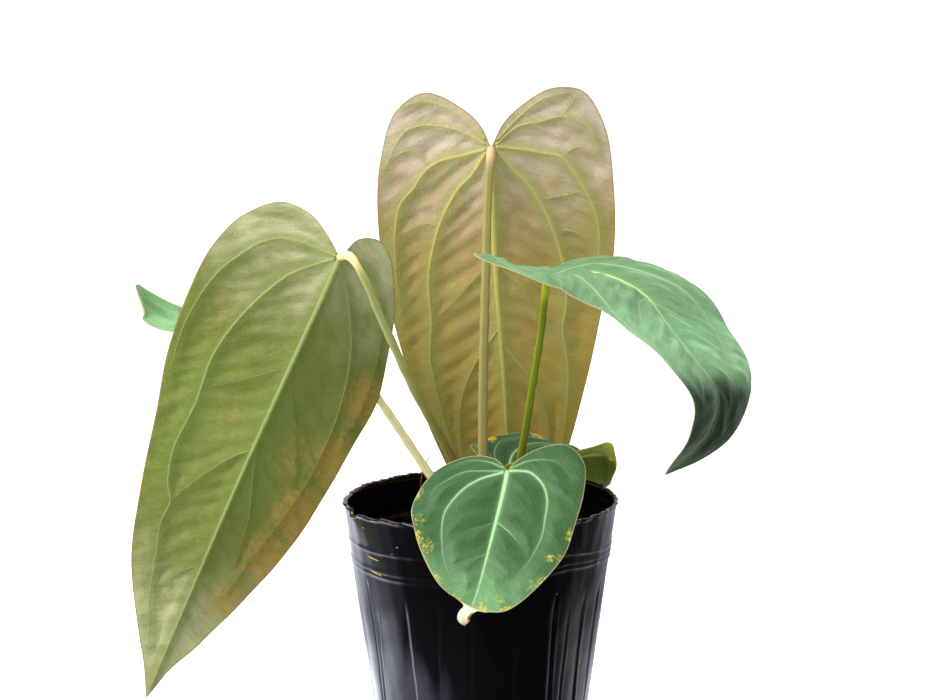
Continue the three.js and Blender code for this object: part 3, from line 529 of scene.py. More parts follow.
class PotLook(bpy.types.PropertyGroup):
    """Sizes and colours of the pot and what is in it."""

    wall: number_property("Wall", "Thickness of the wall, in mm", 0.9, 3, bottom=0.4)
    crease: number_property("Creases", "Depth of an upright crease, in mm", 0.6, 2)
    raggedness: number_property("Ragged rim", "How uneven the cut rim is, in mm", 0.5, 2)
    plastic: colour_property("Plastic", (0.0008, 0.0008, 0.0016), "The pot")
    # Painted reflection: a grey patch low on the left of the pot, where it mirrors its bright surroundings
    haze: colour_property("Haze", (0.055, 0.055, 0.075), "Grey haze low on the left of the pot")
    # Dust and painted sheen: olive streaks on the right of the pot
    dust: colour_property("Dust streaks", (0.022, 0.02, 0.009), "Olive streaks on the right of the pot")
    # Painted highlights on the ridges beside the creases and along the bands
    scuff: colour_property("Scuffed creases", (0.06, 0.06, 0.075), "Worn ridges beside the pot's creases")
    scrape: colour_property("Scrape", (0.55, 0.42, 0.03), "Yellow scrapes on the pot")
    soil: colour_property("Potting mix", (0.05, 0.03, 0.017), "The fine part of the mix")
    bark: colour_property("Bark", (0.16, 0.085, 0.04), "Chips in the mix")
    root: colour_property("Root", (0.33, 0.3, 0.2), "Thick roots on the crown")
    fibre: colour_property("Fibre", (0.16, 0.045, 0.035), "The dry fibre at the rim")
    chips: IntProperty(name="Chips", description="Number of bark chips", default=420, min=0, max=2000)


class StageLook(bpy.types.PropertyGroup):
    """Floor, light and camera."""

    floor: colour_property("Floor", (0.9, 0.9, 0.9), "The pale floor")
    floor_bounce: colour_property("Floor bounce", (0.5, 0.5, 0.5), "How much light the floor throws back up")
    front: number_property("Front light", "Brightness on the camera's side", 0.8, 5)
    behind: number_property("Back light", "Brightness behind the plant", 1.2, 5)
    above: number_property("Top light", "Brightness above the plant", 1.7, 5)
    key: number_property("Key light", "Power of the soft light at the upper left", 13, 100, unit="POWER")
    mirror_front: number_property("Dark in front", "What shiny faces mirror of the front", 0.03, 1)
    mirror_side: number_property("Bright sides", "What shiny faces mirror of the sides", 3.3, 5)
    lens: number_property("Lens", "Focal length", 75, 200, bottom=20, unit="CAMERA")


class PlantLook(bpy.types.PropertyGroup):
    """All that a user may change."""

    leaf: PointerProperty(type=LeafLook)
    colours: PointerProperty(type=LeafColours)
    pot: PointerProperty(type=PotLook)
    stage: PointerProperty(type=StageLook)


# Curves and waves


def unit(vectors):
    """Vectors brought to length one."""
    return vectors / np.maximum(np.linalg.norm(vectors, axis=-1, keepdims=True), 1e-9)


def smooth_curve(points, steps):
    """A curve through all points, evenly sampled in its own measure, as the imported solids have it."""
    points = np.asarray(points, float)
    last = len(points) - 1
    measure = np.linspace(0, last, steps + 1)
    span = np.minimum(measure.astype(int), last - 1)
    share = (measure - span)[:, None]
    padded = np.vstack([2 * points[0] - points[1], points, 2 * points[-1] - points[-2]])
    before, start, end, after = (padded[span + k] for k in range(4))
    gaps = [np.maximum(np.linalg.norm(b - a, axis=1, keepdims=True) ** 0.5, 1e-4)
            for a, b in ((before, start), (start, end), (end, after))]
    wide_before, wide_after = gaps[0] + gaps[1], gaps[1] + gaps[2]
    into = ((start - before) / gaps[0] - (end - before) / wide_before + (end - start) / gaps[1]) * gaps[1]
    away = ((end - start) / gaps[1] - (after - start) / wide_after + (after - end) / gaps[2]) * gaps[1]
    square = -3 * start + 3 * end - 2 * into - away
    cube = 2 * start - 2 * end + into + away
    return start + into * share + square * share**2 + cube * share**3


def full_turn(count):
    """Even angles round a circle."""
    return np.linspace(0, 2 * math.pi, count, endpoint=False)


def round_axis(radius, turn):
    """The x and y of places at a radius and an angle about the pot's axis."""
    return radius * np.cos(turn), radius * np.sin(turn)


def ring_at(radius, turn, z):
    """Places at a radius, an angle and a height about the pot's axis."""
    return np.stack(np.broadcast_arrays(*round_axis(radius, turn), z), -1)


def hump(distance, width, power=2):
    """One at no distance, and softly down to nothing beyond this width."""
    return np.exp(-((distance / width) ** power))


def arc_lengths(line):
    """Distance along a line at each of its points."""
    return np.concatenate([[0], np.cumsum(np.linalg.norm(np.diff(line, axis=0), axis=1))])


def evenly_spaced(line, count):
    """The same line as count points at even distances."""
    lengths = arc_lengths(line)
    wanted = np.linspace(0, lengths[-1], count)
    return np.stack([np.interp(wanted, lengths, column) for column in line.T], -1)


def ripple(seed, size, *coordinates):
    """A smooth wavy number, mostly between -1 and 1, from seeded waves of about this size."""
    draw = np.random.default_rng(seed)
    total = 0
    for _ in range(6):
        heading = unit(draw.normal(size=len(coordinates)))
        length = size * draw.uniform(0.7, 1.6)
        reach = sum(part * values for part, values in zip(heading, coordinates))
        total = total + np.sin(2 * math.pi * reach / length + draw.uniform(0, 2 * math.pi))
    return total / 2.6


def eased(vectors, reach):
    """Vectors along a curve, averaged three times over this many steps to either side."""
    for _ in range(3):
        padded = np.vstack([np.repeat(vectors[:1], reach, 0), vectors, np.repeat(vectors[-1:], reach, 0)])
        total = np.vstack([np.zeros((1, 3)), np.cumsum(padded, 0)])
        vectors = (total[2 * reach + 1:] - total[:len(total) - 2 * reach - 1]) / (2 * reach + 1)
    return vectors


def distance_to_line(places, line):
    """Shortest distance from each flat place to a flat line, and how far along it that is, from 0 to 1."""
    nearest = np.full(len(places), np.inf)
    along = np.zeros(len(places))
    for k, (start, end) in enumerate(zip(line[:-1], line[1:])):
        step = end - start
        share = np.clip(((places - start) @ step) / max(step @ step, 1e-9), 0, 1)
        distance = np.hypot(*(places - start - share[:, None] * step).T)
        along = np.where(distance < nearest, (k + share) / (len(line) - 1), along)
        nearest = np.minimum(nearest, distance)
    return nearest, along


def step_up(values, low, high):
    """A smooth step from 0 to 1."""
    share = np.clip((values - low) / (high - low), 0, 1)
    return share * share * (3 - 2 * share)


# Meshes


class Piece:
    """A mesh in the making: closed bodies in millimetres, with a number at each point for the materials."""

    def __init__(self):
        self.points = []
        self.faces = []
        self.slots = []
        self.values = []
        self.count = 0

    def add(self, points, face_sets, slots=0, flat=None, **values):
        """Adds one closed body. Its faces come as arrays of point numbers and are turned outwards."""
        points = np.asarray(points, float)
        volume = 0
        for faces in face_sets:
            for k in range(1, faces.shape[1] - 1):
                a, b, c = (points[faces[:, corner]] for corner in (0, k, k + 1))
                volume += np.einsum("ij,ij->i", a, np.cross(b, c)).sum()
        for faces in face_sets:
            outward = faces if volume > 0 else faces[:, ::-1]
            self.faces.extend((outward + self.count).tolist())
        face_count = sum(len(faces) for faces in face_sets)
        self.slots.append(np.broadcast_to(slots, face_count))
        self.points.append(points)
        columns = {name: np.broadcast_to(value, len(points)) for name, value in values.items()}
        columns["flat"] = np.zeros((len(points), 2)) if flat is None else flat
        self.values.append(columns)
        self.count += len(points)

    def build(self, name, materials, slot, *nodes):
        """Makes the object, gives it its materials, hangs it under the root body and hides the imported parts
        it stands in for.
        """
        mesh = bpy.data.meshes.new(name)
        mesh.from_pydata((np.concatenate(self.points) * MM).tolist(), [], self.faces)
        for material in materials:
            mesh.materials.append(material)
        mesh.polygons.foreach_set("material_index", np.concatenate(self.slots).astype(np.int32))
        mesh.shade_smooth()
        for key in sorted({key for columns in self.values for key in columns} - {"flat"}):
            column = [columns.get(key, np.zeros(len(columns["flat"]))) for columns in self.values]
            attribute = mesh.attributes.new(key, "FLOAT", "POINT")
            attribute.data.foreach_set("value", np.concatenate(column).astype(np.float32))
        flat = np.concatenate([columns["flat"] for columns in self.values])
        attribute = mesh.attributes.new("flat", "FLOAT_VECTOR", "POINT")
        vectors = np.column_stack([flat, np.zeros(len(flat))]).astype(np.float32)
        attribute.data.foreach_set("vector", vectors.ravel())
        piece = bpy.data.objects.new(name, mesh)
        bpy.context.scene.collection.objects.link(piece)
        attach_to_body(piece, "root")
        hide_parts(*nodes)
        return piece


def ring_faces(count, sides, closed=False):
    """Faces between rings of points in order, with an end face at both ends unless the rings close."""
    index = np.arange(count * sides).reshape(count, sides)
    turned = np.roll(index, -1, axis=1)
    if closed:
        index = np.vstack([index, index[:1]])
        turned = np.vstack([turned, turned[:1]])
    quads = np.stack([index[:-1], turned[:-1], turned[1:], index[1:]], -1).reshape(-1, 4)
    return [quads] if closed else [quads, index[:1, ::-1], index[-1:]]


def tube(route, radii, sides, ahead):
    """Rings of points round a route, each turned so that its first point looks ahead."""
    along = unit(np.gradient(route, axis=0))
    ahead = np.asarray(ahead, float)
    first = unit(ahead - (along @ ahead)[:, None] * along)
    second = np.cross(along, first)
    turn = full_turn(sides)
    radii = np.broadcast_to(np.asarray(radii, float).reshape(len(route), -1), (len(route), sides))
    spread = first[:, None] * np.cos(turn)[None, :, None] + second[:, None] * np.sin(turn)[None, :, None]
    return route[:, None] + spread * radii[..., None], turn


# Materials


BLACK = (0, 0, 0)


class Shader:
    """A material or a world under way: each call adds a node and returns its output."""

    def __init__(self, owner):
        self.owner = owner
        owner.use_nodes = True
        self.tree = owner.node_tree
        self.tree.nodes.clear()

    def put(self, socket, value):
        if isinstance(value, bpy.types.NodeSocket):
            self.tree.links.new(value, socket)
        elif hasattr(value, "__len__") and len(value) == 3 and len(socket.default_value) == 4:
            socket.default_value = (*value, 1)
        else:
            socket.default_value = value

    def node(self, kind, inputs, output=0, **options):
        node = self.tree.nodes.new(kind)
        for option, value in options.items():
            setattr(node, option, value)
        for key, value in inputs.items():
            self.put(node.inputs[key], value)
        return node.outputs[output]

    def attribute(self, name, output="Fac"):
        return self.node("ShaderNodeAttribute", {}, output, attribute_name=name)

    def math(self, operation, first, second=0.0, third=0.0):
        return self.node("ShaderNodeMath", {0: first, 1: second, 2: third}, operation=operation)

    def times(self, first, second):
        return self.math("MULTIPLY", first, second)

    def axes(self, vector, names):
        return [self.node("ShaderNodeSeparateXYZ", {"Vector": vector}, name) for name in names]

    def rays(self, *kinds):
        return [self.node("ShaderNodeLightPath", {}, f"Is {kind} Ray") for kind in kinds]

    def span(self, value, low, high, to_low=0.0, to_high=1.0):
        return self.node("ShaderNodeMapRange", {0: value, 1: low, 2: high, 3: to_low, 4: to_high},
                         interpolation_type="SMOOTHSTEP")

    def mix(self, share, first, second, blend="MIX"):
        return self.node("ShaderNodeMix", {0: share, 6: first, 7: second}, 2, data_type="RGBA",
                         blend_type=blend)

    def number_mix(self, share, first, second):
        return self.node("ShaderNodeMix", {0: share, 2: first, 3: second}, data_type="FLOAT")

    def noise(self, place, scale, detail=3.0, roughness=0.55, distortion=0.0):
        return self.node("ShaderNodeTexNoise", {"Vector": place, "Scale": scale, "Detail": detail,
                                                "Roughness": roughness, "Distortion": distortion}, "Fac")

    def cells(self, place, scale):
        return self.node("ShaderNodeTexVoronoi", {"Vector": place, "Scale": scale}, "Distance",
                         feature="DISTANCE_TO_EDGE")

    def stretched(self, place, scale):
        return self.node("ShaderNodeMapping", {"Vector": place, "Scale": scale}, vector_type="POINT")

    def bump(self, height, strength, distance):
        return self.node("ShaderNodeBump", {"Height": height, "Strength": strength, "Distance": distance})

    def surface(self, **inputs):
        renamed = {key.replace("_", " "): value for key, value in inputs.items()}
        return self.node("ShaderNodeBsdfPrincipled", renamed)

    def done(self, surface, kind="Material"):
        output = self.tree.nodes.new(f"ShaderNodeOutput{kind}")
        self.tree.links.new(surface, output.inputs["Surface"])
        return self.owner


def side_look(leaf, colours, side):
    """What sets a velvety upper side apart from a satin underside."""
    if side == "upper":
        return dict(between=colours.dark_tone, beside=colours.veil_tone, thin_tone=colours.green_upper,
                    clouds=0.55, zone=0.3, halo=0.35, streaks=0.5, sweep=0.8, net=0.0, fading=2.0, margin=0.5,
                    bump=0.4, roughness=0.45, gloss=0.25, sheen=0.65, sheen_tint=(0.6, 1.0, 0.6),
                    glow=0.25, glow_tint=(0.6, 0.85, 0.3), glow_white=0.7)
    near_vein = getattr(colours, leaf["under_tone"])
    return dict(between=near_vein, beside=near_vein, thin_tone=colours.fresh_under,
                clouds=0.4, zone=0.6, halo=0.35, streaks=0.45, sweep=0.5, net=0.08, fading=1.0, margin=0.8,
                bump=0.55, roughness=0.5, gloss=0.2, sheen=0.0, sheen_tint=(1.0, 1.0, 1.0),
                glow=leaf["glow"], glow_tint=(1.0, 0.97, 0.6), glow_white=leaf["glow_white"])


def blade_ground(shader, leaf, colours, side, flat, along):
    """The colour of one side from base to tip, with uneven borders."""
    base, middle, tip = (getattr(colours, key) for key in leaf[side])
    turns = leaf[f"{side}_turns"]
    drift = shader.times(shader.span(shader.noise(flat, 0.04, 3), 0.2, 0.8, -0.5, 0.5), 0.14)
    wandering = shader.math("ADD", along, drift)
    ground = shader.mix(shader.span(wandering, *turns[:2]), base, middle)
    return shader.mix(shader.span(wandering, *turns[2:]), ground, tip)


def stained(shader, ground, leaf, colours, flat):
    """The ground with its stains over it."""
    colour, start, most, cloud_size, orange_start = STAIN_KINDS[leaf["stain_kind"]]
    rough = shader.noise(flat, cloud_size, 5, 0.7)
    patchy = shader.times(shader.attribute("stain"), shader.span(rough, 0.35, 0.65, 0.35, 1.25))
    ground = shader.mix(shader.span(patchy, start, start + 0.4, 0, most), ground, getattr(colours, colour))
    if orange_start is None:
        return ground
    return shader.mix(shader.span(patchy, orange_start, orange_start + 0.2), ground, colours.stain_orange)


def dried(shader, ground, colours, along, x):
    """The ground with the dry end of the blade, painted shade down the left side of its curl and a scorched
    end.
    """
    ground = shader.mix(shader.span(along, 0.872, 0.888), ground, colours.dry_tip)
    # Painted shade down the left side of the curled strip, and a scorched end
    scorch_and_shade_mask = shader.times(shader.span(along, 0.885, 0.9), shader.span(x, -1.2, -2.1))
    scorch_and_shade_mask = shader.math("MAXIMUM", scorch_and_shade_mask, shader.span(along, 0.97, 1.0))
    return shader.mix(scorch_and_shade_mask, ground, colours.scorch_and_shade)


def blade_material(name, leaf, colours, side):
    """One side of a blade: its ground, zones between and beside the veins, stains, a margin and a glow."""
    shader = Shader(bpy.data.materials.new(f"{name}_{side}"))
    look = side_look(leaf, colours, side)
    vein = getattr(colours, leaf[f"{side}_vein"])
    flat = shader.attribute("flat", "Vector")
    along = shader.attribute("along")
    ground = blade_ground(shader, leaf, colours, side, flat, along)
    # The thin pale part, partly painted light shining through
    ground = shader.mix(shader.attribute("thin"), ground, look["thin_tone"])
    x, y = shader.axes(flat, "XY")
    sweep = shader.math("SUBTRACT", y, shader.times(shader.math("ABSOLUTE", x), look["sweep"]))
    swept = shader.node("ShaderNodeCombineXYZ", {"X": shader.times(x, 0.35), "Y": sweep})
    clouds = shader.noise(swept, 0.11, 4, 0.6, 0.6)
    field = shader.attribute("field")
    cloudy = shader.times(shader.span(clouds, 0.4, 0.72, 0, look["clouds"]), field)
    ground = shader.mix(cloudy, ground, look["between"])
    beside = shader.times(shader.span(field, 0.1, 1.0, 1, 0), shader.span(clouds, 0.25, 0.6, 0.5, 1))
    ground = shader.mix(shader.times(beside, look["zone"]), ground, look["beside"])
    streaks = shader.noise(swept, 0.5, 4, 0.62, 0.5)
    # Darker streaks along the pleats: partly the leaf's own streaking, partly painted shade in its fine folds
    ground = shader.mix(shader.span(streaks, 0.36, 0.68, 0, look["streaks"]), ground,
                        shader.mix(0.35, ground, BLACK))
    waves = shader.node("ShaderNodeTexNoise", {"Vector": flat, "Scale": 0.3}, "Color")
    warped = shader.mix(0.05, flat, waves, "LINEAR_LIGHT")
    net = shader.span(shader.cells(warped, 0.5), 0.0, 0.16, 1, 0)
    ground = shader.mix(shader.times(net, look["net"]), ground, vein)
    # Painted shade over the drooping end darkens the ground, the veins and the light through the blade
    shade = shader.attribute("shade")
    ground = shader.mix(shade, ground, colours.droop_upper)
    dimmed = shader.mix(shader.times(shade, 0.75), vein, colours.droop_upper)
    near = shader.math("POWER", shader.attribute("halo"), look["fading"])
    ground = shader.mix(shader.times(near, look["halo"]), ground, dimmed)
    ground = shader.mix(shader.math("POWER", shader.attribute("vein"), look["fading"]), ground, dimmed)
    ground = stained(shader, ground, leaf, colours, flat)
    rim = shader.span(shader.attribute("inset"), 0.0, look["margin"], 0.9, 0)
    ground = shader.mix(rim, ground, getattr(colours, leaf["margin"]))
    if leaf["dry_tip"]:
        ground = dried(shader, ground, colours, along, x)
    relief = shader.math("ADD", shader.times(net, 0.4), streaks)
    normal = shader.bump(relief, look["bump"], 0.0004)
    surface = shader.surface(Base_Color=ground, Roughness=look["roughness"], Normal=normal,
                             Specular_IOR_Level=look["gloss"], Sheen_Weight=look["sheen"],
                             Sheen_Roughness=0.35, Sheen_Tint=look["sheen_tint"])
    # The light through the blade takes the same painted shade
    lit = shader.mix(shade, shader.mix(look["glow_white"], ground, look["glow_tint"]), colours.droop_upper)
    through = shader.node("ShaderNodeBsdfTranslucent", {"Color": lit, "Normal": normal})
    return shader.done(shader.node("ShaderNodeMixShader", {0: look["glow"], 1: surface, 2: through}))


def stalk_material(name, leaf, colours):
    """A petiole: speckled skin with painted highlights down its flanks, a grey-green groove and a joint of
    another colour.
    """
    shader = Shader(bpy.data.materials.new(f"{name}_stalk"))
    foot, shaft, joint = (getattr(colours, key) for key in leaf["stalk"])
    groove_green = (0.12, 0.16, 0.06)
    flat = shader.attribute("flat", "Vector")
    skin = shader.mix(shader.span(shader.attribute("along"), *leaf["stalk_turn"]), foot, shaft)
    streaks = shader.noise(shader.stretched(flat, (1.0, 0.1, 1)), 1.1, 4, 0.65)
    skin = shader.mix(shader.span(streaks, 0.35, 0.7, 0, 0.3), skin, shader.mix(0.3, skin, BLACK))
    specks = shader.noise(shader.stretched(flat, (0.8, 1.6, 1)), 1.7, 3, 0.6)
    skin = shader.mix(shader.span(specks, 0.5, 0.72, 0, 0.45), skin, shader.mix(0.4, skin, joint))
    groove = shader.times(shader.attribute("groove"), 0.6)
    skin = shader.mix(groove, skin, shader.mix(0.5, skin, groove_green))
    # Painted highlights down both flanks
    flank = shader.times(shader.attribute("flank"), 0.3)
    skin = shader.mix(flank, skin, shader.mix(0.6, skin, joint))
    skin = shader.mix(shader.attribute("joint"), skin, joint)
    normal = shader.bump(shader.math("ADD", streaks, specks), 0.25, 0.0003)
    surface = shader.surface(Base_Color=skin, Roughness=0.45, Normal=normal, Specular_IOR_Level=0.08)
    return shader.done(surface)


def plastic_material(look):
    """Thin black plastic: painted reflection low on the left, upright olive streaks of dust and painted
    sheen, painted highlights on the crease ridges, brown tide rings inside.
    """
    shader = Shader(bpy.data.materials.new("black_plastic"))
    smudged, tide_brown, worn_grey = (0.006, 0.006, 0.008), (0.05, 0.032, 0.008), (0.12, 0.12, 0.13)
    place = shader.node("ShaderNodeTexCoord", {}, "Object")
    smudge = shader.noise(place, 28, 5, 0.6, 0.4)
    fine = shader.noise(shader.stretched(place, (1, 1, 9)), 160, 4, 0.65)
    upright = shader.noise(shader.stretched(place, (1, 1, 0.06)), 330, 4, 0.6)
    specks = shader.noise(place, 900, 2, 0.5)
    rings = shader.noise(shader.stretched(place, (6, 6, 420)), 1.0, 3, 0.6)
    base = shader.mix(shader.span(smudge, 0.5, 0.8, 0, 0.25), look.plastic, smudged)
    # A painted reflection low on the left
    haze = shader.times(shader.attribute("haze"), shader.span(smudge, 0.3, 0.62, 0.35, 1))
    base = shader.mix(haze, base, look.haze)
    # Olive streaks, partly dust and partly painted sheen
    streaked = shader.times(shader.attribute("dust"), shader.span(upright, 0.36, 0.66))
    streaked = shader.times(streaked, shader.span(specks, 0.3, 0.6, 0.45, 1))
    base = shader.mix(streaked, base, look.dust)
    # Painted highlights on the ridges beside the creases and on the bands
    ridge_highlight_mask = shader.times(shader.attribute("scuff"), shader.span(fine, 0.3, 0.7, 0.3, 1))
    base = shader.mix(ridge_highlight_mask, base, look.scuff)
    tide = shader.times(shader.attribute("inside"), shader.span(rings, 0.5, 0.7, 0, 0.6))
    base = shader.mix(tide, base, tide_brown)
    lip = shader.attribute("lip")
    grey_mark = shader.times(lip, shader.span(fine, 0.45, 0.75))
    base = shader.mix(shader.times(grey_mark, 0.15), base, worn_grey)
    roughness = shader.math("ADD", shader.span(smudge, 0.3, 0.75, 0.1, 0.22), shader.times(lip, 0.08))
    normal = shader.bump(shader.math("ADD", fine, smudge), 0.1, 0.0006)
    surface = shader.surface(Base_Color=base, Roughness=roughness, Normal=normal, Specular_IOR_Level=0.5)
    return shader.done(surface)


def plain_material(name, colour, shade, scale, roughness, strength):
    """A rough natural surface: cloudy colour over a grainy relief."""
    shader = Shader(bpy.data.materials.new(name))
    place = shader.node("ShaderNodeTexCoord", {}, "Object")
    clouds = shader.noise(place, scale, 5, 0.65)
    grains = shader.noise(place, scale * 6, 4, 0.7)
    skin = shader.mix(shader.span(clouds, 0.35, 0.7), colour, shade)
    skin = shader.mix(shader.span(grains, 0.5, 0.75, 0, 0.5), skin, shader.mix(0.5, skin, BLACK))
    normal = shader.bump(grains, strength, 0.0006)
    return shader.done(shader.surface(Base_Color=skin, Roughness=roughness, Normal=normal))


# Leaves


class Blade:
    """A blade's middle surface. Flat places are x across (right is positive) and y towards the tip."""

    def __init__(self, leaf):
        self.leaf = leaf
        self.line = smooth_curve(leaf["spine"], SPINE_STEPS)
        along = arc_lengths(self.line)
        self.y = along - along[round(SPINE_STEPS / (len(leaf["spine"]) - 1))]
        self.length = self.y[-1]
        self.tangent = unit(np.vstack([self.line[1:2] - self.line[:1], self.line[2:] - self.line[:-2],
                                       self.line[-1:] - self.line[-2:-1]]))
        stations = np.linspace(0, 1, len(leaf["face"]))
        share = np.clip(self.y / self.length, 0, 1)
        columns = np.array(leaf["face"], float).T
        face = np.stack([np.interp(share, stations, column) for column in columns], -1)
        for _ in range(FACE_ROUNDING):
            face[1:-1] = (face[:-2] + 2 * face[1:-1] + face[2:]) / 4
        face = eased(face, leaf["ease"])
        self.heading = unit(eased(self.tangent, leaf["ease"]))
        self.upper = unit(face - (face * self.heading).sum(-1, keepdims=True) * self.heading)

    def at(self, y, columns):
        return np.stack([np.interp(y, self.y, column) for column in columns.T], -1)

    def turned(self, x, y, entry, span):
        """The leaf's fold or curl at flat places, in radians over a span."""
        pairs = zip(*self.leaf[entry])
        near, far = (np.radians(np.where(x > 0, right, left)) / span for left, right in pairs)
        return near + (far - near) * np.clip(y / self.length, 0, 1)

    def place(self, x, y):
        """Flat places as places in space."""
        inside = np.clip(y, self.y[0], self.length)
        tangent = unit(self.at(inside, self.tangent))
        upper = unit(self.at(inside, self.upper))
        side = unit(np.cross(self.at(inside, self.heading), upper))
        middle = self.at(inside, self.line) + tangent * (y - inside)[:, None]
        fold = self.turned(x, y, "fold", 1)
        bend = self.turned(x, y, "curl", CURL_SPAN)
        reach = np.abs(x)
        across = (np.sin(fold + bend * reach) - np.sin(fold)) / bend
        lobe = np.where(x > 0, self.leaf["lobe"][1], self.leaf["lobe"][0])
        rise = (np.cos(fold) - np.cos(fold + bend * reach)) / bend
        rise = rise + lobe * (np.minimum(y, 0) / LOBE_SPAN) ** 2
        return middle + side * (np.sign(x) * across)[:, None] + upper * rise[:, None]

    def normal(self, x, y):
        """Which way the upper side looks."""
        step = 0.3
        across = self.place(x + step, y) - self.place(x - step, y)
        onward = self.place(x, y + step) - self.place(x, y - step)
        return unit(np.cross(across, onward))

    def outline(self, half, count):
        """One half of the outline, evenly spaced from the petiole round the lobe to the tip."""
        left, right = self.leaf["half"]
        width = -left if half == "left" else right
        corners = [(x * width, y * self.length) for x, y in ((0, 0), *self.leaf[half], (0, 1))]
        return evenly_spaced(smooth_curve(corners, OUTLINE_STEPS), count)

    def vein_line(self, shares):
        """A vein as a flat line, with a point about every millimetre."""
        left, right = self.leaf["half"]
        corners = [(x * (left if x < 0 else right), y * self.length) for x, y in shares]
        line = smooth_curve(corners, VEIN_STEPS)
        return evenly_spaced(line, max(8, round(arc_lengths(line)[-1] / VEIN_PITCH)))


def blade_net(blade, stations, rungs):
    """Flat places over the whole blade, closest beside the rim, and the triangles between them."""
    share = np.linspace(0, 1, stations + 1)
    foot = blade.length * (np.maximum(0, share - LADDER_FOOT) / (1 - LADDER_FOOT)) ** 1.1
    rung = 1 - (1 - np.linspace(0, 1, rungs + 1)) ** 1.25
    grids = []
    for half in ("left", "right"):
        edge = blade.outline(half, stations + 1)
        x = edge[:, :1] * rung
        y = foot[:, None] + (edge[:, 1:] - foot[:, None]) * rung
        grids.append(np.stack([x, y], -1))
    places = np.concatenate([grid.reshape(-1, 2) for grid in grids])
    _, first, known = np.unique(np.round(places, 3), axis=0, return_index=True, return_inverse=True)
    known = known.reshape(2, stations + 1, rungs + 1)
    triangles = []
    for half, turn in ((0, -1), (1, 1)):
        grid = known[half]
        a, b, c, d = (grid[:-1, :-1], grid[:-1, 1:], grid[1:, 1:], grid[1:, :-1])
        for corners in ((a, b, c), (a, c, d)):
            triangles.append(np.stack(corners, -1).reshape(-1, 3)[:, ::turn])
    triangles = np.concatenate(triangles)
    whole = (triangles[:, 0] != triangles[:, 1]) & (triangles[:, 1] != triangles[:, 2])
    whole &= triangles[:, 2] != triangles[:, 0]
    return places[first], triangles[whole]


def rim_edges(triangles, count):
    """The directed edges that only one triangle uses."""
    edges = np.concatenate([triangles[:, [0, 1]], triangles[:, [1, 2]], triangles[:, [2, 0]]])
    forward = edges[:, 0] * count + edges[:, 1]
    backward = edges[:, 1] * count + edges[:, 0]
    return edges[~np.isin(backward, forward)]


def vein_width(blade, kind, share):
    """Width of a vein in mm, at a share of its length."""
    wide, narrow, *_ = VEIN_KINDS[kind]
    return blade.leaf["vein_scale"] * (wide + (narrow - wide) * share**1.3)


def vein_strength(kind, share):
    """How clearly a vein shows, at a share of its length."""
    return VEIN_STRENGTH[kind] * (1 - VEIN_FADE[kind] * share**1.5)


class Relief:
    """How a blade stands off its middle surface: bulges between veins, pleats, crinkles and a waved rim."""

    def __init__(self, blade, look, seed):
        self.blade = blade
        self.look = look
        self.seed = seed
        self.lines = [(kind, blade.vein_line(shares)) for kind, shares in blade.leaf["veins"]]
        self.outline = np.vstack([blade.outline("left", RIM_STEPS), blade.outline("right", RIM_STEPS)[::-1]])

    def at(self, x, y):
        """Height in mm, and how near the place is to a vein (halo), to open tissue (field) and to the rim."""
        places = np.column_stack([x, y])
        halo = np.zeros(len(x))
        clear = np.full(len(x), np.inf)
        for kind, line in self.lines:
            distance, share = distance_to_line(places, line)
            width = vein_width(self.blade, kind, share)
            halo = np.maximum(halo, vein_strength(kind, share) * hump(distance, 0.8 * width))
            clear = np.minimum(clear, distance + VEIN_SLACK.get(kind, 0))
        inset, _ = distance_to_line(places, self.outline)
        calm = np.clip(inset / CALM_RIM, 0, 1)
        field = 1 - hump(clear, OPEN_TISSUE)
        bulge = self.look.quilt * field * (0.35 + 0.65 * calm)
        slanted = y - PLEAT_SLANT * np.abs(x)
        pleats = np.sin(2 * math.pi * slanted / PLEAT_PITCH + 1.4 * ripple(self.seed, 34, x, y))
        folds = self.look.wave * calm * field * (0.8 * pleats + 0.8 * ripple(self.seed + 1, 15, x, y))
        creased = 0.55 - 1.4 * np.abs(ripple(self.seed + 3, 9, 0.6 * x, y + 0.2 * np.abs(x)))
        crinkle = self.look.crinkle * field * (0.3 + 0.7 * calm) * creased
        flutter = FLUTTER * (1 - calm) * ripple(self.seed + 2, 26, x, y)
        slack = 1 - 0.6 * shade_at(self.blade, x, y)
        return slack * (bulge + folds + crinkle) + flutter, halo, field, inset


def add_vein(piece, blade, relief, look, kind, shares):
    """A vein as a slim closed ridge that shows on both sides of the blade."""
    below, above = VEIN_KINDS[kind][2:]
    line = blade.vein_line(shares)
    share = np.linspace(0, 1, len(line))
    onward = unit(np.gradient(line, axis=0))
    sideways = np.stack([onward[:, 1], -onward[:, 0]], -1)
    taper = 1 - share**1.3
    width = vein_width(blade, kind, share) / 2
    turn = full_turn(VEIN_SIDES)
    flat = line[:, None] + sideways[:, None] * (width[:, None] * np.cos(turn))[..., None]
    height = np.sin(turn)
    proud = np.where(height > 0, above, below) * (0.25 + 0.75 * taper[:, None])
    lift = height * (look.thickness / 2 + proud)
    x, y = flat.reshape(-1, 2).T
    stand, halo, field, _ = relief.at(x, y)
    points = blade.place(x, y) + blade.normal(x, y) * (lift.ravel() + stand)[:, None]
    strength = vein_strength(kind, share)[:, None] * (0.35 + 0.65 * np.abs(height))
    on_upper = np.tile(height + np.roll(height, -1) > 0, len(line) - 1)
    slots = np.concatenate([np.where(on_upper, 0, 1), [1, 1]])
    piece.add(points, ring_faces(len(line), VEIN_SIDES), slots, flat.reshape(-1, 2), vein=strength.ravel(),
              halo=halo, field=field, shade=shade_at(blade, x, y) * np.tile(height > 0, len(line)),
              thin=thin_at(blade, x, y), along=y / blade.length, inset=FAR_FROM_RIM,
              stain=stain_at(blade, x, y, np.full(len(x), FAR_FROM_RIM)))


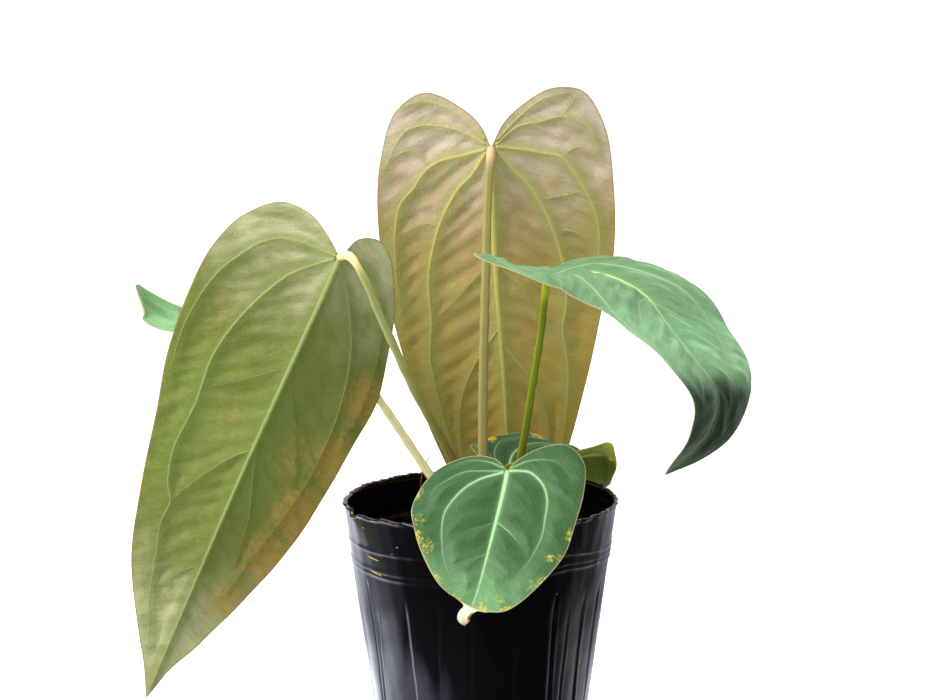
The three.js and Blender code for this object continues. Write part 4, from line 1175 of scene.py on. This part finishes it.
def stain_at(blade, x, y, inset):
    """How strongly a flat place is stained: round patches that fade outwards, and flecks along the rim."""
    flecked = blade.leaf["rim_flecks"] * hump(inset, 4)
    total = flecked * np.clip(0.6 + 0.6 * ripple(61, 11, x, y), 0, 1) * step_up(y / blade.length, 0.05, 0.35)
    for across, along, radius, strength in blade.leaf["stains"]:
        left, right = blade.leaf["half"]
        middle = across * (left if across < 0 else right)
        distance = np.hypot(x - middle, y - along * blade.length)
        total = np.maximum(total, strength * hump(distance, radius))
    return total


def thin_at(blade, x, y):
    """Where the low leaf is thin and pale, from 0 to 1: behind a slanting line in its right half. The
    paleness is partly painted light shining through it.
    """
    if not blade.leaf["thin_part"]:
        return np.zeros(len(x))
    start, slope = blade.leaf["thin_part"]
    behind_line = start + slope * x / blade.leaf["half"][1] - y / blade.length
    return step_up(behind_line, -0.02, 0.03) * (x > 0)


def shade_at(blade, x, y):
    """How deep the painted shade over the drooping end of a blade is, from 0 to 1; its far edge stays paler.
    """
    if not blade.leaf["shaded"]:
        return np.zeros(len(x))
    start, end, deepest = blade.leaf["shaded"]
    along = y / blade.length
    far_edge = step_up(-x / blade.leaf["half"][0], 0.25, 0.8)
    depth = deepest * step_up(along + 0.012 * ripple(62, 14, x, y), start, end)
    return depth * (1 - 0.45 * far_edge) * (1 - 0.25 * step_up(along, 0.84, 1.0))


def build_blade(name, leaf, look, colours):
    """A blade with its veins. The letters of its name give the seed of its waves."""
    blade = Blade(leaf)
    flat, triangles = blade_net(blade, leaf["stations"], leaf["rungs"])
    x, y = flat.T
    relief = Relief(blade, look, len(name) + sum(map(ord, name)))
    stand, halo, field, inset = relief.at(x, y)
    normals = blade.normal(x, y)
    middle = blade.place(x, y) + normals * stand[:, None]
    half = look.thickness / 2 * (0.55 + 0.45 * np.clip(inset / THIN_RIM, 0, 1))
    ridge = RIDGE_UNDER_VEIN * halo
    points = np.vstack([middle + normals * half[:, None], middle - normals * (half + ridge)[:, None]])
    count = len(flat)
    rim = rim_edges(triangles, count)
    sides = np.stack([rim[:, 0], rim[:, 0] + count, rim[:, 1] + count, rim[:, 1]], -1)
    slots = np.repeat([0, 1, 1], [len(triangles), len(triangles), len(sides)])
    shade = shade_at(blade, x, y)
    on_both = dict(halo=halo, field=field, inset=inset, thin=thin_at(blade, x, y), along=y / blade.length,
                   stain=stain_at(blade, x, y, inset))
    piece = Piece()
    piece.add(points, [triangles, triangles[:, ::-1] + count, sides], slots, np.vstack([flat, flat]),
              vein=0.0, shade=np.append(shade, 0 * shade),
              **{key: np.tile(values, 2) for key, values in on_both.items()})
    for kind, shares in leaf["veins"]:
        add_vein(piece, blade, relief, look, kind, shares)
    materials = [blade_material(name, leaf, colours, side) for side in ("upper", "under")]
    piece.build(f"leaf_{name}", materials, leaf["slot"], f"blade_{name}")


def build_petiole(name, leaf, look, colours):
    """A petiole: a wider foot, a grooved shaft and a swollen joint that meets the blade."""
    attach = Blade(leaf).place(np.zeros(1), np.zeros(1))[0]
    line = smooth_curve([*leaf["petiole"], tuple(attach)], STALK_STEPS)
    line = evenly_spaced(line, max(24, round(arc_lengths(line)[-1] / STALK_PITCH)))
    lengths = arc_lengths(line)
    share = lengths / lengths[-1]
    left_over = lengths[-1] - lengths
    joint = hump(np.maximum(left_over - leaf["joint_reach"], 0), 5)
    foot = np.clip(1 - share * 8, 0, 1)
    radius = leaf["shaft"] * (1.04 - 0.2 * share) + 0.5 * foot + 0.16 * joint
    radius = radius * np.clip(0.55 + left_over / 3, 0, 1)
    rings, turn = tube(line, radius, look.sides, (0.1, -1, 0.2))
    off_groove = np.minimum(turn, 2 * math.pi - turn)
    off_joint = (1 - joint)[:, None]
    groove = hump(off_groove, 0.42)
    # Where the painted highlights run down the flanks
    flank = hump(off_groove - 1.15, 0.22)
    depth = 0.16 * groove * off_joint * np.clip(share * 6, 0, 1)[:, None]
    knobs = 0.05 * ripple(len(name), 9, lengths)[:, None]
    rings = line[:, None] + (rings - line[:, None]) * (1 + knobs - depth)[..., None]
    flat = np.stack(np.broadcast_arrays(turn[None, :] * leaf["shaft"], lengths[:, None]), -1)
    values = dict(along=share[:, None], joint=joint[:, None], flank=flank * off_joint,
                  groove=groove * off_joint)
    piece = Piece()
    piece.add(rings.reshape(-1, 3), ring_faces(len(line), look.sides), 0, flat.reshape(-1, 2),
              **{key: np.broadcast_to(value, depth.shape).ravel() for key, value in values.items()})
    piece.build(f"stalk_{name}", [stalk_material(name, leaf, colours)], "petiole", f"petiole_{name}")


# Pot, mix, crown and fibre


def bearing_of(turn):
    """Angle round the pot, measured from the side that faces the camera, positive to the right."""
    return np.arctan2(np.sin(turn + math.pi / 2), np.cos(turn + math.pi / 2))


def all_creases():
    """The creases that are listed, and more round the back at uneven steps."""
    first, last = CREASES[-1][0], 360 + CREASES[0][0]
    step = (last - first) / (BACK_CREASES + 1)
    back = [(first + step * (k + 1) + 3 * math.sin(2.3 * k), 0.55 + 0.2 * math.sin(3.1 * k), 0.8,
             84 + 4 * math.sin(1.7 * k)) for k in range(BACK_CREASES)]
    return CREASES + back


def crease_relief(look, turn, z):
    """How far the creases move the pot's face in or out, in mm, and where the painted highlight goes on the
    ridge beside them.
    """
    relief = np.zeros(np.broadcast(turn, z).shape)
    grey_mark = np.zeros_like(relief)
    for bearing, depth, half_width, top in all_creases():
        wander = 0.5 * np.sin(z / 17 + bearing)
        away = bearing_of(turn - math.radians(bearing)) * (POT_BASE_RADIUS + 8) + wander
        fade = np.clip((z - 3) / 8, 0, 1) * np.clip((top - z) / 7, 0, 1)
        dent = hump(away, half_width) + 0.45 * hump(away, 4 * half_width)
        ridge = hump(away - 2.1 * half_width, half_width)
        relief += fade * depth * look.crease * (0.7 * ridge - dent)
        # The ridge beside a crease, where the painted highlight goes
        grey_mark = np.maximum(grey_mark, fade * depth * ridge)
    return relief, grey_mark


def band_relief(turn, z):
    """The rolled ridge bands under the rim."""
    bearing = np.degrees(bearing_of(turn))
    lower, upper = np.interp(bearing, *LOWER_BAND), np.interp(bearing, *UPPER_BAND)
    return sum(BAND_RISE * hump(z - height, BAND_WIDTH) for height in (lower, lower + BAND_GAP, upper))


def pot_radius(look, turn, z):
    """Radius of the pot's outer face, with creases, bands and dents."""
    radius = POT_BASE_RADIUS + (POT_RIM_RADIUS - 0.3 - POT_BASE_RADIUS) * z / POT_HEIGHT
    radius = radius + crease_relief(look, turn, z)[0] + band_relief(turn, z)
    x, y = round_axis(radius, turn)
    return radius + (0.3 * ripple(3, 34, x, y, z) + 0.1 * ripple(4, 9, x, y, z * 0.5))


def rim_height(look, turn):
    """Height of the rim, cut unevenly with heat, a little low on the left and torn there."""
    x, y = round_axis(POT_RIM_RADIUS, turn)
    bearing = np.degrees(bearing_of(turn))
    sag = 1.3 * hump(bearing + 85, 38) + 2.2 * hump(bearing + 66, 4, 4)
    ragged = ripple(5, 21, x, y) + 0.6 * ripple(6, 7, x, y)
    behind = np.clip(-np.cos(np.radians(bearing)), 0.25, 1)
    fine = behind * (0.55 * ripple(7, 2.8, x, y) - 1.6 * np.clip(ripple(12, 5, x, y) - 0.8, 0, 1))
    return POT_HEIGHT - 0.8 - sag + look.raggedness * (0.65 * ragged + fine)


def add_scrape(piece, look, bearing, height, length, width, slope, slot):
    """A thin sliver on the pot's outer face."""
    share = np.linspace(-1, 1, 9)
    slope = math.radians(slope)
    ring = full_turn(6)
    along = share * length / 2
    half = width / 2 * np.sqrt(np.clip(1.05 - share**2, 0, 1))
    across = half[:, None] * np.cos(ring)
    sideways = along[:, None] * math.cos(slope) - across * math.sin(slope)
    z = height + along[:, None] * math.sin(slope) + across * math.cos(slope)
    turn = math.radians(bearing - 90) + sideways / POT_RIM_RADIUS
    points = ring_at(pot_radius(look, turn, z) + 0.07 * np.sin(ring), turn, z)
    piece.add(points.reshape(-1, 3), ring_faces(len(share), len(ring)), slot)


def add_pot_floor(piece):
    """The pot's bottom plate, with its ring of drain holes."""
    drains, drain_radius, drain_ring, around = 8, 3.2, 31.0, 20
    plate_radius, plate_low, plate_top = POT_BASE_RADIUS - 0.4, 0.05, 1.4
    loops = [np.stack(round_axis(plate_radius, full_turn(96)), -1)]
    for k in range(drains):
        middle = 2 * math.pi * (k + 0.5) / drains
        centre = drain_ring * np.array([math.cos(middle), math.sin(middle)])
        loops.append(centre + np.stack(round_axis(drain_radius, full_turn(around)), -1))
    corners = [Vector(place) for loop in loops for place in loop]
    edges, start = [], 0
    for loop in loops:
        edges += [(start + k, start + (k + 1) % len(loop)) for k in range(len(loop))]
        start += len(loop)
    flat, _, faces, *_ = delaunay_2d_cdt(corners, edges, [], 0, 1e-5)
    flat = np.array([tuple(place) for place in flat])
    faces = np.array(faces)
    middles = flat[faces].mean(axis=1)
    inside = np.hypot(*middles.T) < plate_radius
    for loop in loops[1:]:
        inside &= np.hypot(*(middles - loop.mean(axis=0)).T) > drain_radius * 0.97
    faces = faces[inside]
    count = len(flat)
    high, low = (np.column_stack([flat, np.full(count, level)]) for level in (plate_top, plate_low))
    spans = rim_edges(faces, count)
    walls = np.stack([spans[:, 0], spans[:, 0] + count, spans[:, 1] + count, spans[:, 1]], -1)
    piece.add(np.vstack([high, low]), [faces, faces[:, ::-1] + count, walls], 0, inside=0.0)


def painted_light_and_dust(look, turn, z):
    """Painted reflection, dust with painted sheen, and painted ridge highlights on the pot's outer face, each
    from 0 to 1.
    """
    bearing = np.degrees(bearing_of(turn))
    x, y = round_axis(POT_RIM_RADIUS, turn)
    # The painted reflection: low on the left, and a little on the left shoulder
    edge = 61 + 5 * ripple(13, 9, x, y) + 6 * np.sin(bearing / 9)
    low_left = np.clip((edge - z) / 16, 0, 1) * hump(bearing + 33, 19, 4)
    left_shoulder = 0.35 * hump(bearing + 62, 16)
    # Dust and painted sheen on the right; dust round the back
    right = hump(bearing - 52, 11, 4) * np.clip((z + 12) / 40, 0.35, 1)
    far_round = 0.5 * (np.cos(np.radians(bearing)) < -0.1) * (0.5 + 0.5 * np.sin(bearing / 23))
    # Painted highlights on the crease ridges and the bands
    scuff = 0.1 * crease_relief(look, turn, z)[1] + 0.04 * np.clip(band_relief(turn, z) / BAND_RISE, 0, 1)
    return dict(haze=np.clip(low_left + left_shoulder, 0, 1), dust=np.clip(right + far_round, 0, 1),
                scuff=np.clip(scuff, 0, 1))


def build_pot(look):
    """The pot: a closed wall with a ragged, melted rim, a plate with drain holes and small scrapes."""
    turn = full_turn(POT_SIDES)
    top = rim_height(look, turn)
    x, y = round_axis(POT_RIM_RADIUS, turn)
    outer = np.concatenate([np.linspace(0, 88, 30), np.linspace(89, 108, 32), np.linspace(109, 117, 9)])
    inner = np.concatenate([np.linspace(117, 86, 14), np.linspace(80, 1.2, 7)])
    rings = []
    face_values = {key: [] for key in ("inside", "lip", "haze", "dust", "scuff")}

    def add_ring(z, radius, **values):
        rings.append(ring_at(radius, turn, z))
        for key, column in face_values.items():
            column.append(np.broadcast_to(values.get(key, 0.0), turn.shape))

    for z in outer:
        height = np.minimum(z, top - 1.4)
        add_ring(height, pot_radius(look, turn, height), **painted_light_and_dust(look, turn, height))
    melt = 0.4 * ripple(8, 7, x, y) + 0.18 * ripple(9, 2.8, x, y)
    for drop, bulge in LIP_PROFILE:
        height = top - drop + 0.1 * ripple(10 + int(drop * 20), 2.6, x, y)
        radius = pot_radius(look, turn, height) + bulge + melt * (1.2 - drop)
        add_ring(height, np.minimum(radius, POT_RIM_RADIUS + 0.9), inside=float(bulge < -0.6), lip=1.0)
    for z in inner:
        height = np.minimum(z, top - 1.8)
        add_ring(height, pot_radius(look, turn, height) - look.wall, inside=1.0)
    piece = Piece()
    piece.add(np.concatenate(rings), ring_faces(len(rings), len(turn), closed=True), 0,
              **{key: np.concatenate(column) for key, column in face_values.items()})
    add_pot_floor(piece)
    for marks, slot in ((YELLOW_SCRAPES, 1), (PALE_SCRAPES, 2)):
        for mark in marks:
            add_scrape(piece, look, *mark, slot)
    yellow = plain_material("yellow_scrape", look.scrape, (0.3, 0.2, 0.02), 400, 0.5, 0.2)
    pale = plain_material("pale_scrape", (0.5, 0.48, 0.42), (0.2, 0.17, 0.12), 400, 0.5, 0.2)
    piece.build("nursery_pot", [plastic_material(look), yellow, pale], "pot_plastic", "pot")


def mix_height(x, y):
    """Top of the potting mix."""
    return MIX_LEVEL + 0.8 * ripple(20, 16, x, y) + 0.5 * ripple(21, 6, x, y) - 0.0006 * (x * x + y * y)


def rough_lump(draw, size):
    """A closed, uneven lump of this size, turned at random, and its faces."""
    corners = 7
    tilts = [math.radians(tilt) for tilt in (-75, -35, 0, 35, 75)]
    points = np.vstack([ring_at(math.cos(tilt) ** 0.6, full_turn(corners), math.sin(tilt)) for tilt in tilts])
    points = points * draw.uniform(0.72, 1.1, (len(points), 1)) * size / 2
    yaw, roll = draw.uniform(0, 2 * math.pi), draw.normal(0, 0.35)
    spin = np.array([[math.cos(yaw), -math.sin(yaw), 0], [math.sin(yaw), math.cos(yaw), 0], [0, 0, 1]])
    lean = np.array([[1, 0, 0], [0, math.cos(roll), -math.sin(roll)], [0, math.sin(roll), math.cos(roll)]])
    return points @ (spin @ lean).T, ring_faces(len(tilts), corners)


def build_mix(look):
    """The potting mix: a plug of fine stuff with bark chips and bits of husk over its top."""
    turn = full_turn(MIX_SIDES)
    wall = (MIX_HIGH[0] - MIX_LOW[0]) / 2 - 0.4
    foot = POT_BASE_RADIUS - 2
    shoulder = MIX_LEVEL - 4
    rings = [ring_at(foot + (wall - foot) * z / shoulder, turn, z)
             for z in np.linspace(MIX_LOW[2], shoulder, 14)]
    for share in np.linspace(0.995, 0.02, 46):
        x, y = round_axis(share * wall, turn)
        fine = 0.25 * ripple(22, 2.4, x, y) * (share < 0.98)
        rings.append(ring_at(share * wall, turn, mix_height(x, y) + fine))
    piece = Piece()
    piece.add(np.concatenate(rings), ring_faces(len(rings), len(turn)), 0)
    draw = np.random.default_rng(31)
    for k in range(look.chips):
        distance, angle = (wall - 3) * math.sqrt(draw.uniform(0.03, 1)), draw.uniform(0, 2 * math.pi)
        size = np.array([draw.uniform(2.5, 7), draw.uniform(1.8, 4.2), draw.uniform(1, 2.4)])
        x, y = distance * math.cos(angle), distance * math.sin(angle)
        lump, faces = rough_lump(draw, size)
        height = mix_height(np.array([x]), np.array([y]))[0] + 0.35 * size[2]
        piece.add(lump + (x, y, height), faces, 1 + k % 2)
    soil = plain_material("fine_mix", look.soil, (0.02, 0.012, 0.008), 240, 0.95, 0.9)
    bark = plain_material("bark", look.bark, (0.06, 0.03, 0.015), 300, 0.85, 0.8)
    husk = plain_material("husk", (0.1, 0.06, 0.035), (0.19, 0.12, 0.07), 260, 0.9, 0.8)
    piece.build("soil", [soil, bark, husk], "mix", "potting_mix")


def build_crown(look):
    """The crown: a short stem ringed by leaf scars, and thick roots that arch into the mix."""
    z = np.concatenate([np.linspace(62, 97, 60), [98.2, 99.1, 99.7, 100]])[:, None]
    radius = np.interp(z, [62, 66, 74, 93, 97, 99, 99.7, 100], [5, 8, 9, 9.2, 7.9, 5.5, 3, 1])
    turn = full_turn(CROWN_SIDES)
    scars = 0.35 * np.sin(2 * math.pi * z / 5.5 + 0.5 * np.sin(turn)) ** 3
    reach = radius * (1 + 0.03 * np.sin(3 * turn + z / 9)) + scars * (radius > 7.5)
    rings = ring_at(reach, turn, z) + (*CROWN_PLACE, 0)
    piece = Piece()
    piece.add(rings.reshape(-1, 3), ring_faces(len(z), len(turn)), 0)
    steps, sides = 30, 16
    for k, bearing in enumerate(ROOT_BEARINGS):
        out = 17 + 2.5 * math.sin(3 * k)
        spots = [(5, 0, 88), (11, 4, 91.5), (out - 2, 12, 89), (out + 2, 16, 82)]
        route = [(CROWN_PLACE[0] + distance * math.cos(math.radians(bearing + veer)),
                  CROWN_PLACE[1] + distance * math.sin(math.radians(bearing + veer)), height)
                 for distance, veer, height in spots]
        line = evenly_spaced(smooth_curve(route, ROOT_STEPS), steps)
        thick = 1.8 - 0.5 * np.linspace(0, 1, steps) + 0.12 * ripple(40 + k, 5, np.arange(float(steps)))
        rings, _ = tube(line, thick, sides, (0, 0, 1))
        piece.add(rings.reshape(-1, 3), ring_faces(steps, sides), 1)
    skin = plain_material("crown_skin", (0.2, 0.2, 0.07), (0.12, 0.07, 0.03), 260, 0.75, 0.5)
    root = plain_material("root_skin", look.root, (0.22, 0.2, 0.1), 320, 0.85, 0.6)
    piece.build("crown", [skin, root], "crown", "crown_and_roots")


def build_fibre(look):
    """The dry fibre that stands in the mix at the back of the rim."""
    steps, sides = 60, 10
    line = evenly_spaced(smooth_curve(FIBRE_ROUTE, FIBRE_STEPS), steps)
    share = np.linspace(0, 1, steps)
    radius = 0.36 - 0.16 * share**2 + 0.05 * ripple(51, 0.2, share)
    rings, _ = tube(line, radius, sides, (1, 0, 0))
    piece = Piece()
    piece.add(rings.reshape(-1, 3), ring_faces(steps, sides))
    skin = plain_material("fibre_skin", look.fibre, (0.3, 0.12, 0.08), 700, 0.8, 0.5)
    piece.build("fibre", [skin], "fibre", "dry_fibre")


# Stage


def studio_light(look):
    """A white studio, brightest behind and above the plant and dim on the camera's side."""
    world = bpy.data.worlds.new("studio")
    bpy.context.scene.world = world
    sky = Shader(world)
    x, y, z = sky.axes(sky.node("ShaderNodeTexCoord", {}, "Generated"), "XYZ")
    behind = sky.span(y, -0.6, 0.15, look.front, look.behind)
    above = sky.span(z, 0.3, 0.85, 0.0, look.above)
    lit = sky.times(sky.math("MAXIMUM", behind, above), sky.span(x, -0.8, 0.8, 1.15, 0.75))
    reflected = sky.times(lit, sky.span(y, -0.3, 0.25, look.mirror_front, 0.9))
    seen, glossy = sky.rays("Camera", "Glossy")
    chosen = sky.number_mix(seen, sky.number_mix(glossy, lit, reflected), 1.15)
    background = sky.node("ShaderNodeBackground", {"Color": (1, 1, 1), "Strength": chosen})
    sky.done(background, "World")


def floor_material(look):
    """White to the camera; shiny faces mirror it bright to the sides and dark in front."""
    shader = Shader(bpy.data.materials.new("pale_floor"))
    seen, glossy = shader.rays("Camera", "Glossy")
    place = shader.node("ShaderNodeTexCoord", {}, "Object")
    heading = shader.node("ShaderNodeVectorMath", {0: place}, "Vector", operation="NORMALIZE")
    distance = shader.node("ShaderNodeVectorMath", {0: place}, "Value", operation="LENGTH")
    right, back = shader.axes(heading, "XY")
    lit = shader.times(shader.span(back, -0.5, 0.1, look.mirror_front, 1),
                       shader.span(distance, 0.12, 0.24, 1, 0.1))
    lit = shader.math("MAXIMUM", lit, shader.span(back, 0.15, 0.6, 0, 0.5))
    lit = shader.times(lit, shader.span(right, -0.3, 0.4, look.mirror_side, 0.3 * look.mirror_side))
    bounce = shader.mix(glossy, look.floor_bounce, BLACK)
    light = shader.math("ADD", shader.times(seen, 0.4), shader.times(glossy, lit))
    surface = shader.surface(Base_Color=shader.mix(seen, bounce, look.floor), Roughness=0.8,
                             Emission_Color=shader.mix(glossy, look.floor, (0.84, 0.87, 1)),
                             Emission_Strength=light)
    return shader.done(surface)


def place_object(name, data, place=(0, 0, 0), turn=(0, 0, 0)):
    """An object in the scene, in metres and radians."""
    thing = bpy.data.objects.new(name, data)
    thing.location = place
    thing.rotation_euler = turn
    bpy.context.scene.collection.objects.link(thing)
    return thing


def build_stage(look):
    """Floor, light and camera."""
    mesh = bpy.data.meshes.new("floor")
    mesh.from_pydata([(FLOOR_REACH * x, FLOOR_REACH * y, 0) for x, y in FLOOR_CORNERS], [], [(0, 1, 2, 3)])
    mesh.materials.append(floor_material(look))
    place_object("floor", mesh)
    studio_light(look)
    softbox = bpy.data.lights.new("softbox_left", "AREA")
    softbox.shape = "SQUARE"
    softbox.size = SOFTBOX_SIZE
    softbox.energy = look.key
    aim = (Vector(SOFTBOX_AIM) - Vector(SOFTBOX_PLACE)).to_track_quat("-Z", "Y").to_euler()
    place_object("softbox_left", softbox, SOFTBOX_PLACE, aim).visible_camera = False
    lens = bpy.data.cameras.new("camera")
    lens.lens = look.lens
    lens.sensor_width = SENSOR_WIDTH
    camera = place_object("camera", lens, CAMERA_PLACE, (math.radians(90 - CAMERA_DIP), 0, 0))
    bpy.context.scene.camera = camera
    bpy.context.scene.view_settings.view_transform = "Standard"


# Add-on


class PLANT_OT_pot(bpy.types.Operator):
    """Build the nursery pot"""

    bl_idname = "plant.pot"
    bl_label = "Pot"

    def execute(self, context):
        build_pot(context.scene.plant_look.pot)
        return {"FINISHED"}


class PLANT_OT_mix(bpy.types.Operator):
    """Build the potting mix"""

    bl_idname = "plant.mix"
    bl_label = "Potting mix"

    def execute(self, context):
        build_mix(context.scene.plant_look.pot)
        return {"FINISHED"}


class PLANT_OT_crown(bpy.types.Operator):
    """Build the crown with its roots"""

    bl_idname = "plant.crown"
    bl_label = "Crown and roots"

    def execute(self, context):
        build_crown(context.scene.plant_look.pot)
        return {"FINISHED"}


class PLANT_OT_petioles(bpy.types.Operator):
    """Build the six petioles"""

    bl_idname = "plant.petioles"
    bl_label = "Petioles"

    def execute(self, context):
        look = context.scene.plant_look
        for name, leaf in LEAVES.items():
            build_petiole(name, leaf, look.leaf, look.colours)
        return {"FINISHED"}


class PLANT_OT_blades(bpy.types.Operator):
    """Build the six leaf blades with their veins"""

    bl_idname = "plant.blades"
    bl_label = "Leaf blades"

    def execute(self, context):
        look = context.scene.plant_look
        for name, leaf in LEAVES.items():
            build_blade(name, leaf, look.leaf, look.colours)
        return {"FINISHED"}


class PLANT_OT_fibre(bpy.types.Operator):
    """Build the dry fibre"""

    bl_idname = "plant.fibre"
    bl_label = "Dry fibre"

    def execute(self, context):
        build_fibre(context.scene.plant_look.pot)
        return {"FINISHED"}


class PLANT_OT_stage(bpy.types.Operator):
    """Set up floor, light and camera"""

    bl_idname = "plant.stage"
    bl_label = "Stage"

    def execute(self, context):
        build_stage(context.scene.plant_look.stage)
        return {"FINISHED"}


OPERATORS = (PLANT_OT_pot, PLANT_OT_mix, PLANT_OT_crown, PLANT_OT_petioles, PLANT_OT_blades, PLANT_OT_fibre,
             PLANT_OT_stage)
GROUPS = (LeafLook, LeafColours, PotLook, StageLook, PlantLook)


class PLANT_PT_panel(bpy.types.Panel):
    """Lists the pieces and what may be changed"""

    bl_label = "Potted anthurium"
    bl_idname = "PLANT_PT_panel"
    bl_space_type = "VIEW_3D"
    bl_region_type = "UI"
    bl_category = "Anthurium"

    def draw(self, context):
        look = context.scene.plant_look
        for group in (look.leaf, look.colours, look.pot, look.stage):
            box = self.layout.box()
            for name in group.__annotations__:
                box.prop(group, name)
        for operator in OPERATORS:
            self.layout.operator(operator.bl_idname)


def register():
    for item in (*GROUPS, *OPERATORS, PLANT_PT_panel):
        bpy.utils.register_class(item)
    bpy.types.Scene.plant_look = PointerProperty(type=PlantLook)


def unregister():
    del bpy.types.Scene.plant_look
    for item in reversed((*GROUPS, *OPERATORS, PLANT_PT_panel)):
        bpy.utils.unregister_class(item)


def main():
    """Builds every piece and the stage."""
    register()
    bpy.ops.plant.pot()
    bpy.ops.plant.mix()
    bpy.ops.plant.crown()
    bpy.ops.plant.petioles()
    bpy.ops.plant.blades()
    bpy.ops.plant.fibre()
    bpy.ops.plant.stage()


if __name__ == "__main__":
    main()
